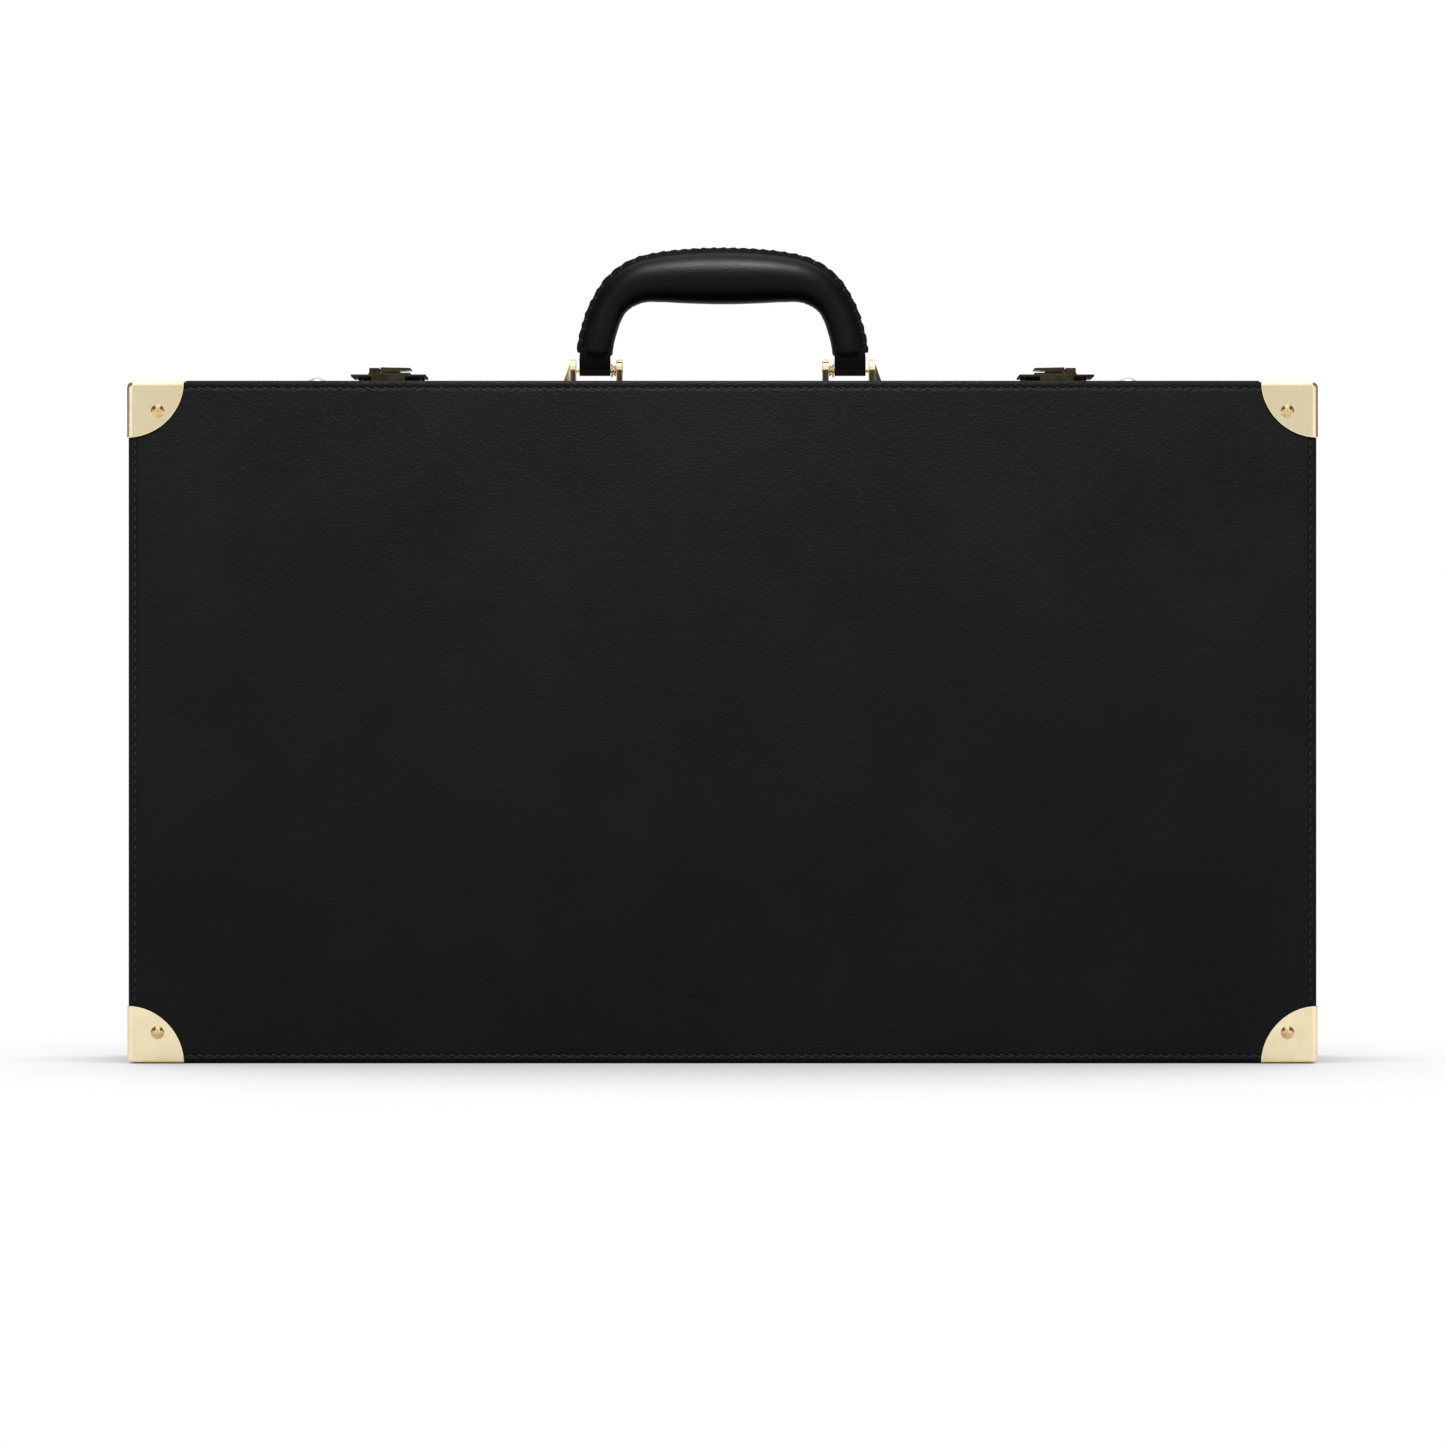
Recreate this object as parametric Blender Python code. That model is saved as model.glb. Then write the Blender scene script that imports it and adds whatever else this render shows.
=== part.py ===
"""Leather-covered poker chip case with brass corner caps, slide latches and a padded handle.

Frame: metres, +Z up, +X to the right, lid towards -Y. The case stands on its long hinge edge, with
the origin on the floor under the middle of the case. Every piece that touches another keeps
fit_gap to it.
"""

from math import acos, asin, cos, degrees, pi, radians, sin, sqrt

import bmesh
import bpy
from mathutils import Matrix, Vector

# ---- driving dimensions -------------------------------------------------------------------------

# case, over its corner caps
case_width = 0.560
case_height = 0.321
case_depth = 0.080

# walls
board = 0.008
hinge_board = 0.014
panel = 0.004
leather = 0.0012
fit_gap = 0.0003
rim_gap = 0.0004
face_chamfer = 0.0010

# corner caps
cap_radius = 0.027
cap_sheet = 0.0005
cap_corner_radius = 0.0036
cap_edge_radius = 0.0020
cap_rivet_inset = 0.0145
cap_rivet_head = 0.00315
cap_rivet_rise = 0.0013
lid_margin = 0.001  # how far the lid's rim lies beyond its caps

# rivet shanks, all kinds
shank_radius = 0.0011
shank_in_wood = 0.0045

# piano hinge, sunk in a groove along the bottom parting line
hinge_rise = 0.0034  # from the leather's bottom face up to the pin's centre
knuckle_radius = 0.0024
knuckle_pitch = 0.045
knuckle_gap = 0.0004
hinge_pin_radius = 0.0010
leaf_thickness = 0.0010
leaf_height = 0.0080
leaf_clearance = 0.0005  # from the knuckles to the leaf's lower edge
hinge_end_margin = 0.006
groove_half = 0.0060

# elbow stays
stay_lid_arm = 0.100  # hinge axis to the pivot on the lid
stay_base_arm = 0.100  # hinge axis to the pivot on the base
stay_lid_offset = 0.008  # the pivots' distance from the parting plane
stay_base_offset = 0.012
stay_bar_half = 0.004
stay_bar = 0.0012
stay_pin = 0.0014
stay_flange = 0.0008
stay_flange_radius = 0.005
stay_head = 0.0008
stay_head_radius = 0.0026
stay_room = 0.006  # free space between the end boards and the trays

# chip trays, centre tray and lid lining
channels = 4
chip_channel_radius = 0.0205
channel_pitch = 0.0425
tray_margin = 0.003
tray_end_wall = 0.006
tray_depth = 0.034
deck_well = (0.067, 0.093)
dice_well = (0.093, 0.040)
button_well_radius = 0.027
well_depth = 0.026
well_web = 0.012
lining = 0.004

# latches
latch_spread = 0.158  # middle of the case to the middle of a latch
latch_plate_width = 0.0353
latch_plate_front = 0.0008  # from the parting plane back to the plate's front edge
latch_plate_length = 0.0260
latch_sheet = 0.0008
hasp_pin_setback = 0.022  # from the parting plane back to the hasp's pin
hasp_pin_rise = 0.0027  # from the plate's bottom face to the pin's centre
hasp_pin_radius = 0.0007
hasp_barrel_radius = 0.0016
hasp_sheet = 0.0010
hasp_rise = 0.0032  # from the plate's bottom face to the hasp's underside
hasp_platform = (-0.01005, 0.00975)  # the raised field under the slider, outwards from the middle
platform_rise = 0.0012
hasp_reach = 0.0114  # from the parting plane forward to the hasp's front edge
hasp_barrel_half = 0.0140
lug_thickness = 0.0014
catch_half = 0.0020  # half the catch's and the slider foot's depth
catch_setback = 0.006
catch_sheet = 0.0006
foot_outer = 0.0008  # the slider's foot, measured outwards from the latch's middle
foot_inner = -0.0020
toe_reach = 0.0014  # how far the foot's toe goes under the catch's overhang
lip_toe = 0.0013  # how far the hasp's lip reaches back under the keeper's nose
slider_travel = 0.0045
slider_depth = 0.016
slider_setback = 0.004
slider_outer = 0.0040  # the slider body's outer face, from the latch's middle
slider_body = 0.0087
slider_tab = 0.0055
slider_stop = 0.0047
slider_stop_gap = 0.0007
slider_rise = 0.0023
keeper_width = 0.016
keeper_plate = (0.024, 0.0085)
keeper_setback = 0.0030  # from the parting plane forward to the keeper plate's rear edge
spring_wire = 0.0002
spring_radius = 0.0010
spring_turns = 5

# dome studs
dome_spread = 0.194
dome_radius = 0.00575
dome_rise = 0.0047

# handle
handle_half_outer = 0.0698
handle_half_inner = 0.0527
handle_height = 0.0667  # above the top of the caps
handle_opening = 0.0405
leg_foot = 0.0150
axle_rise = 0.0074
axle_radius = 0.0012
bore_gap = 0.0003
eye_wall = 0.0010
leg_half_depth = 0.0063
grip_half_depth = 0.0100
tab_outer = 0.0684
tab_inner = 0.0536
post_outer = 0.0715
post_inner = 0.0493
post_thickness = 0.0029
post_half = 0.0053
brace_rise = 0.0034  # from the axle up to the top of the brace
washer_radius = 0.0034
bracket_sheet = 0.0012
bracket_half_depth = 0.0100
bracket_outer = 0.0770
bracket_inner = 0.0400
brace_half_depth = 0.0030

# ---- planes worked out from them ----------------------------------------------------------------

skin = cap_sheet + fit_gap  # from the caps' outer face to the leather's
wood = skin + leather + fit_gap  # from the caps' outer face to the carcass
half_width = case_width / 2
x_leather = half_width - skin
x_wood = half_width - wood
x_inside = x_wood - board
z_leather = (skin, case_height - skin)
z_wood = (wood, case_height - wood)
z_inside = (wood + hinge_board, case_height - wood - board)
y_part = -case_depth / 2 + cap_radius + lid_margin
z_hinge = skin + hinge_rise
leaf_low = z_hinge + knuckle_radius + leaf_clearance
leaf_high = leaf_low + leaf_height
hinge_half = x_wood - hinge_end_margin
knuckles = round(2 * hinge_half / knuckle_pitch)
leather_corner = cap_corner_radius - skin
y_handle = (y_part + case_depth / 2) / 2
z_axle = case_height + axle_rise
tray_outer = x_inside - stay_room
tray_inner = tray_outer - channels * channel_pitch - 2 * tray_margin
z_plate = z_leather[1] + fit_gap  # underside of what is fixed on the top
lid, base = -1, 1  # the way each half faces along Y
ends = ((-1, "left"), (1, "right"))
case_middle = (0, 0, case_height / 2)

# ---- small tools ---------------------------------------------------------------------------------

colours = {
    "black_leather": ((0.012, 0.012, 0.012), 0.55, 0.0),
    "plywood": ((0.45, 0.32, 0.18), 0.75, 0.0),
    "pale_brass": ((0.78, 0.66, 0.43), 0.28, 1.0),
    "gold_brass": ((0.60, 0.38, 0.14), 0.25, 1.0),
    "dark_nickel": ((0.10, 0.09, 0.06), 0.30, 1.0),
    "nickel": ((0.62, 0.61, 0.58), 0.30, 1.0),
    "steel": ((0.55, 0.55, 0.55), 0.40, 1.0),
    "black_flock": ((0.010, 0.010, 0.011), 0.95, 0.0),
}


def material(name):
    """The material of this name, made once: colour, roughness and metallic value."""
    found = bpy.data.materials.get(name)
    if found:
        return found
    colour, roughness, metallic = colours[name]
    made = bpy.data.materials.new(name)
    made.use_nodes = True
    shader = made.node_tree.nodes["Principled BSDF"]
    shader.inputs["Base Color"].default_value = (*colour, 1.0)
    shader.inputs["Roughness"].default_value = roughness
    shader.inputs["Metallic"].default_value = metallic
    made.diffuse_color = (*colour, 1.0)
    return made


def axis_empty(name, place, parent=None):
    """An empty on a joint's axis, which the moving piece's objects are parented to."""
    made = bpy.data.objects.new(name, None)
    made.empty_display_size = 0.01
    bpy.context.scene.collection.objects.link(made)
    made.parent = parent
    made.location = Vector(place) - (world_place(parent) if parent else Vector())
    return made


def world_place(item):
    """Where an empty lies in the model's frame, up its chain of parents."""
    place = Vector()
    while item:
        place += item.location
        item = item.parent
    return place


def keep(name, shape, finish, holder=None, smooth=True):
    """Turns a shape that was drawn in the model's frame into a named piece on its holder."""
    bmesh.ops.recalc_face_normals(shape, faces=shape.faces)
    mesh = bpy.data.meshes.new(name)
    shape.to_mesh(mesh)
    shape.free()
    mesh.transform(Matrix.Translation(-world_place(holder)))
    if smooth:
        mesh.shade_smooth()
        mesh.set_sharp_from_angle(angle=radians(35))
    made = bpy.data.objects.new(name, mesh)
    bpy.context.scene.collection.objects.link(made)
    made.parent = holder
    if finish:
        mesh.materials.append(material(finish))
    return made


def cutter(name, shape):
    """A shape that only cuts or joins others."""
    made = keep(name, shape, None, smooth=False)
    made.hide_render = True
    made.display_type = "WIRE"
    return made


def combine(target, tool, operation="DIFFERENCE"):
    """Adds a Boolean of target and tool."""
    step = target.modifiers.new(tool.name, "BOOLEAN")
    step.operation = operation
    step.solver = "EXACT"
    step.object = tool


def block(shape, *spans):
    """Adds a box with these (x, y, z) spans, each given in either order."""
    lows = [min(span) for span in spans]
    highs = [max(span) for span in spans]
    size = [high - low for low, high in zip(lows, highs)]
    middle = [(high + low) / 2 for low, high in zip(lows, highs)]
    matrix = Matrix.Translation(middle) @ Matrix.Diagonal((*size, 1))
    return bmesh.ops.create_cube(shape, size=1, matrix=matrix)["verts"]


def prism(shape, outline, axis, start, end):
    """Adds an outline extruded along an axis: (y, z) for X, (x, z) for Y and (x, y) for Z."""
    rings = []
    for level in (start, end):
        ring = [list(point) for point in outline]
        for point in ring:
            point.insert(axis, level)
        rings.append([shape.verts.new(point) for point in ring])
    loft_faces(shape, rings)


def loft_faces(shape, rings):
    """Joins rings of equal count side by side and closes the first and the last."""
    count = len(rings[0])
    for near, far in zip(rings, rings[1:]):
        for i in range(count):
            j = (i + 1) % count
            shape.faces.new((near[i], near[j], far[j], far[i]))
    shape.faces.new(rings[0])
    shape.faces.new(rings[-1])


def turned(shape, profile, origin, direction, sides):
    """Adds a closed turned piece: profile is (radius, distance along direction) from end to end."""
    turn = Vector(direction).to_track_quat("Z", "Y").to_matrix()
    rings = []
    for radius, along in profile:
        ring = []
        for i in range(sides):
            angle = 2 * pi * (i + 0.5) / sides
            spot = turn @ Vector((radius * cos(angle), radius * sin(angle), along))
            ring.append(shape.verts.new(Vector(origin) + spot))
        rings.append(ring)
    loft_faces(shape, rings)


def rod(shape, axis, centre, start, end, radius, sides=16):
    """Adds a round rod along an axis; centre is its place across the axis."""
    point = list(centre)
    point.insert(axis, start)
    direction = [0, 0, 0]
    direction[axis] = 1
    turned(shape, [(radius, 0), (radius, end - start)], point, direction, sides)


def arc(centre, radius, start, end, steps):
    """Points on an arc between two angles in degrees, both ends included."""
    angles = [radians(start + (end - start) * i / steps) for i in range(steps + 1)]
    return [(centre[0] + radius * cos(a), centre[1] + radius * sin(a)) for a in angles]


def rounded_frame(half_x, low, high, radius, steps=3):
    """A rectangle in X and Z with rounded corners."""
    inner_x = half_x - radius
    return [
        *arc((inner_x, high - radius), radius, 0, 90, steps),
        *arc((-inner_x, high - radius), radius, 90, 180, steps),
        *arc((-inner_x, low + radius), radius, 180, 270, steps),
        *arc((inner_x, low + radius), radius, 270, 360, steps),
    ]


def face_y(side, inset):
    """The Y of a plane that lies this far inside the caps' outer face, on the lid or base side."""
    return side * (case_depth / 2 - inset)


def rim_y(side):
    """The Y of the lid's or the base's rim."""
    return y_part + side * rim_gap / 2


def bevel_edges(shape, chosen, width, steps):
    """Rounds the chosen edges."""
    bmesh.ops.bevel(shape, geom=chosen, offset=width, segments=steps, profile=0.5, affect="EDGES")


# ---- joint axes ----------------------------------------------------------------------------------


def stay_places():
    """The (y, z) of the stay's pivots on the lid and base, and of its elbow, with the lid closed."""
    lid_drop = sqrt(stay_lid_arm**2 - stay_lid_offset**2)
    base_drop = sqrt(stay_base_arm**2 - stay_base_offset**2)
    lid_pivot = Vector((y_part - stay_lid_offset, z_hinge + lid_drop))
    base_pivot = Vector((y_part + stay_base_offset, z_hinge + base_drop))
    elbow = lid_pivot + base_pivot - Vector((y_part, z_hinge))
    return lid_pivot, base_pivot, elbow


def hasp_axis_place(side):
    """The middle of the hasp's pin."""
    return (side * latch_spread, y_part + hasp_pin_setback, z_plate + hasp_pin_rise)


# ---- carcass -------------------------------------------------------------------------------------


def carcass(half, side, holder):
    """Four boards and a panel of one half."""
    rim = rim_y(side)
    panel_in = face_y(side, wood + panel)
    panel_out = face_y(side, wood)
    board_back = panel_in - side * fit_gap
    corner = leather_corner - leather

    for end, word in ends:
        shape = bmesh.new()
        span = (z_inside[0] + fit_gap, z_inside[1] - fit_gap)
        block(shape, (end * x_inside, end * x_wood), (rim, board_back), span)
        keep(f"{half}_end_board_{word}", shape, "plywood", holder, smooth=False)

    corners = rounded_frame(x_wood, z_wood[0], z_wood[1], corner, 2)
    pieces = {}
    for name, low, high in (
        ("_top_board", z_inside[1], z_wood[1]),
        ("_bottom_board", z_wood[0], z_inside[0]),
    ):
        outline = [(x, min(max(z, low), high)) for x, z in corners]
        shape = bmesh.new()
        prism(shape, [p for i, p in enumerate(outline) if p != outline[i - 1]], 1, rim, board_back)
        bmesh.ops.dissolve_limit(shape, angle_limit=0.001, verts=shape.verts, edges=shape.edges)
        pieces[name] = keep(half + name, shape, "plywood", holder, smooth=False)

    shape = bmesh.new()
    prism(shape, corners, 1, panel_in, panel_out)
    name = "_front_panel" if side == lid else "_back_panel"
    pieces["panel"] = keep(half + name, shape, "plywood", holder, smooth=False)
    return pieces


def covers(half, side, holder):
    """The leather of one half: a sheet on the big face and a band around the four sides."""
    outer = face_y(side, skin)
    inner = face_y(side, skin + leather)
    frame = rounded_frame(x_leather, z_leather[0], z_leather[1], leather_corner)
    shape = bmesh.new()
    prism(shape, frame, 1, inner, outer)
    rim = [e for e in shape.edges if all(abs(v.co.y - outer) < 1e-6 for v in e.verts)]
    bevel_edges(shape, rim, face_chamfer, 2)
    name = "_front_leather" if side == lid else "_back_leather"
    sheet = keep(half + name, shape, "black_leather", holder)

    shape = bmesh.new()
    prism(shape, frame, 1, inner - side * fit_gap, rim_y(side))
    band = keep(half + "_band_leather", shape, "black_leather", holder)
    low, high = (z_leather[0] + leather, z_leather[1] - leather)
    shape = bmesh.new()
    inside = rounded_frame(x_leather - leather, low, high, leather_corner - leather)
    prism(shape, inside, 1, face_y(side, 0), rim_y(-side) - side * leather)
    combine(band, cutter("cut_" + half + "_band", shape))
    return sheet, band


# ---- corner caps ---------------------------------------------------------------------------------


def rounded_corner(corner, reach, corner_round, edge_round):
    """A block that fills a corner of the case, its three outer edges rounded."""
    spans = [(c, c - reach * (1 if c > m else -1)) for c, m in zip(corner, case_middle)]
    shape = bmesh.new()
    block(shape, *spans)

    def lies(edge, axis, value):
        return all(abs(v.co[axis] - value) < 1e-6 for v in edge.verts)

    upright = [e for e in shape.edges if lies(e, 0, corner[0]) and lies(e, 2, corner[2])]
    bevel_edges(shape, upright, corner_round, 4)
    far_x, far_z = spans[0][1], spans[2][1]
    around = [
        e
        for e in shape.edges
        if lies(e, 1, corner[1]) and not lies(e, 0, far_x) and not lies(e, 2, far_z)
    ]
    bevel_edges(shape, around, edge_round, 3)
    return shape


def corner_cap(half, side, end, word, level, holder):
    """A pressed brass corner: a rounded box corner trimmed by a ball, with its rivet peened on.

    Returns the cutter that makes room for the rivet's shank.
    """
    up = 1 if level == "top" else -1
    corner = (end * half_width, face_y(side, 0), case_height if up > 0 else 0.0)
    name = f"{half}_cap_{level}_{word}"
    reach = cap_radius + 2 * lid_margin
    solid = rounded_corner(corner, reach, cap_corner_radius, cap_edge_radius)
    cap = keep(name, solid, "pale_brass", holder)
    inset = [c - cap_sheet * (1 if c > m else -1) for c, m in zip(corner, case_middle)]
    hollow = rounded_corner(
        inset, 2 * reach, cap_corner_radius - cap_sheet, cap_edge_radius - cap_sheet
    )
    combine(cap, cutter("cut_inside_" + name, hollow))
    ball = bmesh.new()
    bmesh.ops.create_uvsphere(
        ball, u_segments=40, v_segments=20, radius=cap_radius, matrix=Matrix.Translation(corner)
    )
    combine(cap, cutter("trim_" + name, ball), "INTERSECT")
    place = (
        corner[0] - end * cap_rivet_inset,
        face_y(side, cap_sheet / 2),
        corner[2] - up * cap_rivet_inset,
    )
    rise = cap_rivet_rise + cap_sheet / 2
    rivet, hole = stud(place, (0, side, 0), (cap_rivet_head, rise), shank_in_wood, 16)
    combine(cap, cutter("join_rivet_" + name, rivet), "UNION")
    return cutter("hole_" + name, hole)


# ---- studs ---------------------------------------------------------------------------------------


def dome(radius, rise, steps=4):
    """Profile of a round head, from its rim at 0 up to its crown at rise."""
    ball = (radius**2 + rise**2) / (2 * rise)
    spread = asin(min(radius / ball, 1.0))
    spread = spread if rise <= ball else pi - spread
    angles = [spread * (1 - i / steps) for i in range(steps)]
    return [(ball * sin(a), rise - ball + ball * cos(a)) for a in angles] + [(radius / 12, rise)]


def stud(place, direction, head, shank_length, sides):
    """A round head on a shank, and the hole that its shank needs."""
    radius, rise = head
    shape, hole = bmesh.new(), bmesh.new()
    shank = [(shank_radius, -shank_length), (shank_radius, 0)]
    turned(shape, shank + dome(radius, rise), place, direction, sides)
    wide = shank_radius + fit_gap
    turned(hole, [(wide, -shank_length - fit_gap), (wide, fit_gap)], place, direction, sides)
    return shape, hole


# ---- hinge ---------------------------------------------------------------------------------------


def hinge_groove():
    """The open groove along the bottom parting line, across the whole width."""
    shape = bmesh.new()
    sides = (y_part - groove_half, y_part + groove_half)
    block(shape, (-case_width, case_width), sides, (-hinge_rise, leaf_low))
    return cutter("cut_hinge_groove", shape)


def leaf_seat(side):
    """The step in the bottom board's rim that a hinge leaf lies in."""
    depth = rim_gap / 2 + leaf_thickness + fit_gap
    reach = hinge_half + fit_gap
    shape = bmesh.new()
    top = z_inside[0] + fit_gap
    block(shape, (-reach, reach), (y_part, y_part + side * depth), (leaf_low - fit_gap, top))
    return cutter("cut_leaf_seat_" + ("lid" if side == lid else "base"), shape)


def knuckle_outline(side):
    """A barrel with a tab that rises to its leaf, in Y and Z."""
    near, far = rim_gap / 2, rim_gap / 2 + leaf_thickness
    top = leaf_low + leaf_height / 4
    turn_near = degrees(acos(near / knuckle_radius))
    turn_far = degrees(acos(far / knuckle_radius))
    points = arc((0, 0), knuckle_radius, turn_near, 360 + turn_far, 14)
    points = [(near, top - z_hinge), *points, (far, top - z_hinge)]
    return [(y_part + side * y, z_hinge + z) for y, z in points]


def hinge_leaf(half, side, holder):
    """A leaf with every second knuckle."""
    shape = bmesh.new()
    thick = (rim_y(side), rim_y(side) + side * leaf_thickness)
    block(shape, (-hinge_half, hinge_half), thick, (leaf_low, leaf_high))
    leaf = keep("hinge_leaf_" + half, shape, "steel", holder)
    pitch = 2 * hinge_half / knuckles
    shape = bmesh.new()
    for i in range(0 if side == base else 1, knuckles, 2):
        start = -hinge_half + i * pitch
        span = (start + knuckle_gap / 2, start + pitch - knuckle_gap / 2)
        prism(shape, knuckle_outline(side), 0, *span)
    combine(leaf, cutter("join_knuckles_" + half, shape), "UNION")
    shape = bmesh.new()
    bore = hinge_pin_radius + bore_gap
    rod(shape, 0, (y_part, z_hinge), -case_width, case_width, bore, 12)
    combine(leaf, cutter("cut_hinge_bore_" + half, shape))
    return leaf


# ---- stays ---------------------------------------------------------------------------------------


upper_layer, lower_layer = 2, 4  # where stay_layers starts each bar


def stay_layers(end):
    """The X of each layer between an end board and the trays, from the board inwards."""
    steps = (fit_gap, stay_flange, fit_gap, stay_bar, fit_gap, stay_bar, fit_gap, stay_head)
    levels, x = [], x_inside
    for step in steps:
        x -= step
        levels.append(end * x)
    return levels


def stay_bar_outline(first, second):
    """A flat bar with round ends about two pivots, in Y and Z."""
    along = second - first
    heading = degrees(acos(max(-1, min(1, along.x / along.length))))
    return [
        *arc(second, stay_bar_half, heading - 90, heading + 90, 6),
        *arc(first, stay_bar_half, heading + 90, heading + 270, 6),
    ]


def stay(end, word, lower_holder, upper_holder):
    """One elbow stay: the lower bar turns on the base, the upper bar on the lid."""
    board_face, flange, upper_out, upper_in, lower_out, lower_in, head_out, _ = stay_layers(end)
    lid_pivot, base_pivot, elbow = stay_places()
    hole = stay_pin + fit_gap

    shape = bmesh.new()
    prism(shape, stay_bar_outline(base_pivot, elbow), 0, lower_out, lower_in)
    lower = keep("stay_lower_" + word, shape, "steel", lower_holder)
    shape = bmesh.new()
    inward = -end
    pin = [
        (stay_pin, -stay_bar / 2),
        (stay_pin, abs(upper_out - lower_out) + fit_gap / 2),
        (stay_head_radius, abs(upper_out - lower_out) + fit_gap),
        (stay_head_radius, abs(upper_out - lower_out) + fit_gap + stay_flange / 2),
    ]
    turned(shape, pin, (lower_out, *elbow), (-inward, 0, 0), 12)
    combine(lower, cutter("join_elbow_pin_" + word, shape), "UNION")

    shape = bmesh.new()
    prism(shape, stay_bar_outline(lid_pivot, elbow), 0, upper_out, upper_in)
    upper = keep("stay_upper_" + word, shape, "steel", upper_holder)
    for piece, pivots in ((lower, [base_pivot]), (upper, [lid_pivot, elbow])):
        shape = bmesh.new()
        for pivot in pivots:
            span = sorted((board_face, head_out))
            rod(shape, 0, pivot, *span, hole, 12)
        combine(piece, cutter("cut_pivots_" + piece.name, shape))


def stay_post(name, end, pivot, bar_layer, holder):
    """The post that a stay bar turns on: a flange on the board, a spacer, a pin and its head."""
    levels = stay_layers(end)
    near_face = abs(levels[bar_layer] - levels[0])
    far_face = near_face + stay_bar
    spacer = near_face - fit_gap
    profile = [(stay_flange_radius, 0), (stay_flange_radius, stay_flange)]
    if spacer > stay_flange + fit_gap:
        profile += [(stay_head_radius, stay_flange), (stay_head_radius, spacer)]
    profile += [
        (stay_pin, profile[-1][1]),
        (stay_pin, far_face + fit_gap),
        (stay_head_radius, far_face + fit_gap),
        (stay_head_radius, far_face + fit_gap + stay_head / 2),
    ]
    shape = bmesh.new()
    turned(shape, profile, (levels[0], *pivot), (-end, 0, 0), 12)
    keep(name, shape, "steel", holder)


# ---- inside --------------------------------------------------------------------------------------


def chip_tray(end, word):
    """A flocked tray with half-round channels for rows of chips, along Z."""
    back = face_y(base, wood + panel) - fit_gap
    face = back - tray_depth
    low, high = z_inside[0] + fit_gap, z_inside[1] - fit_gap
    shape = bmesh.new()
    block(shape, (end * tray_inner, end * tray_outer), (face, back), (low, high))
    tray = keep("chip_tray_" + word, shape, "black_flock")
    shape = bmesh.new()
    for i in range(channels):
        x = end * (tray_inner + tray_margin + (i + 0.5) * channel_pitch)
        span = (low + tray_end_wall, high - tray_end_wall)
        rod(shape, 2, (x, face), *span, chip_channel_radius, 28)
    combine(tray, cutter("cut_channels_" + word, shape))


def centre_tray():
    """The middle tray: two card wells side by side, a dice well below, a button well above."""
    back = face_y(base, wood + panel) - fit_gap
    face = back - tray_depth
    low, high = z_inside[0] + fit_gap, z_inside[1] - fit_gap
    half = tray_inner - fit_gap
    shape = bmesh.new()
    block(shape, (-half, half), (face, back), (low, high))
    tray = keep("centre_tray", shape, "black_flock")
    shape = bmesh.new()
    depth = (face - well_depth, face + well_depth)
    middle = (low + high) / 2
    for end in (-1, 1):
        near = end * well_web / 4
        block(shape, (near, near + end * deck_well[0]), depth, deck_span(middle))
    dice_top = deck_span(middle)[0] - well_web
    dice_half = dice_well[0] / 2
    block(shape, (-dice_half, dice_half), depth, (dice_top - dice_well[1], dice_top))
    button = deck_span(middle)[1] + well_web + button_well_radius
    rod(shape, 1, (0, button), *depth, button_well_radius, 28)
    combine(tray, cutter("cut_wells", shape))


def deck_span(middle):
    """The low and high Z of the card wells."""
    return (middle - deck_well[1] / 2, middle + deck_well[1] / 2)


def lid_pad(holder):
    """The velvet-covered foam pad inside the lid."""
    back = face_y(lid, wood + panel) + fit_gap
    low, high = z_inside[0] + fit_gap, z_inside[1] - fit_gap
    shape = bmesh.new()
    block(shape, (-tray_outer, tray_outer), (back, back + lining), (low, high))
    keep("lid_lining", shape, "black_flock", holder, smooth=False)


# ---- latches -------------------------------------------------------------------------------------


catch_roof = z_plate + hasp_rise - fit_gap
foot_span = (y_part + catch_setback - catch_half, y_part + catch_setback + catch_half)
slider_back = y_part + slider_setback + slider_depth / 2
slider_span = (slider_back - slider_depth, slider_back)


def latch_places(side):
    """The latch's own X from u, which is measured outwards from its middle."""
    return lambda u: side * (latch_spread + u)


def latch_plate(side, word):
    """Base plate with two lugs for the hasp's pin and the catch that the slider hooks under."""
    at = latch_places(side)
    _, pin_y, pin_z = hasp_axis_place(side)
    front = y_part + latch_plate_front
    half = latch_plate_width / 2
    top = z_plate + latch_sheet
    shape = bmesh.new()
    block(shape, (at(-half), at(half)), (front, front + latch_plate_length), (z_plate, top))
    plate = keep("latch_plate_" + word, shape, "dark_nickel")

    shape = bmesh.new()
    lug = hasp_barrel_radius
    outline = [(pin_y + lug, z_plate + latch_sheet / 2), *arc((pin_y, pin_z), lug, 0, 180, 6)]
    outline.append((pin_y - lug, z_plate + latch_sheet / 2))
    for end in (-1, 1):
        near = hasp_barrel_half + fit_gap
        prism(shape, outline, 0, at(end * near), at(end * (near + lug_thickness)))
    combine(plate, cutter("join_lugs_" + word, shape), "UNION")

    nose, post = foot_outer + fit_gap, foot_outer + toe_reach + 2 * fit_gap
    foot = z_plate + latch_sheet / 2
    outline = [
        (nose, catch_roof),
        (post + latch_sheet, catch_roof),
        (post + latch_sheet, foot),
        (post, foot),
        (post, catch_roof - catch_sheet),
        (nose, catch_roof - catch_sheet),
    ]
    shape = bmesh.new()
    prism(shape, [(at(u), z) for u, z in outline], 1, *foot_span)
    combine(plate, cutter("join_catch_" + word, shape), "UNION")
    return plate


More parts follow.
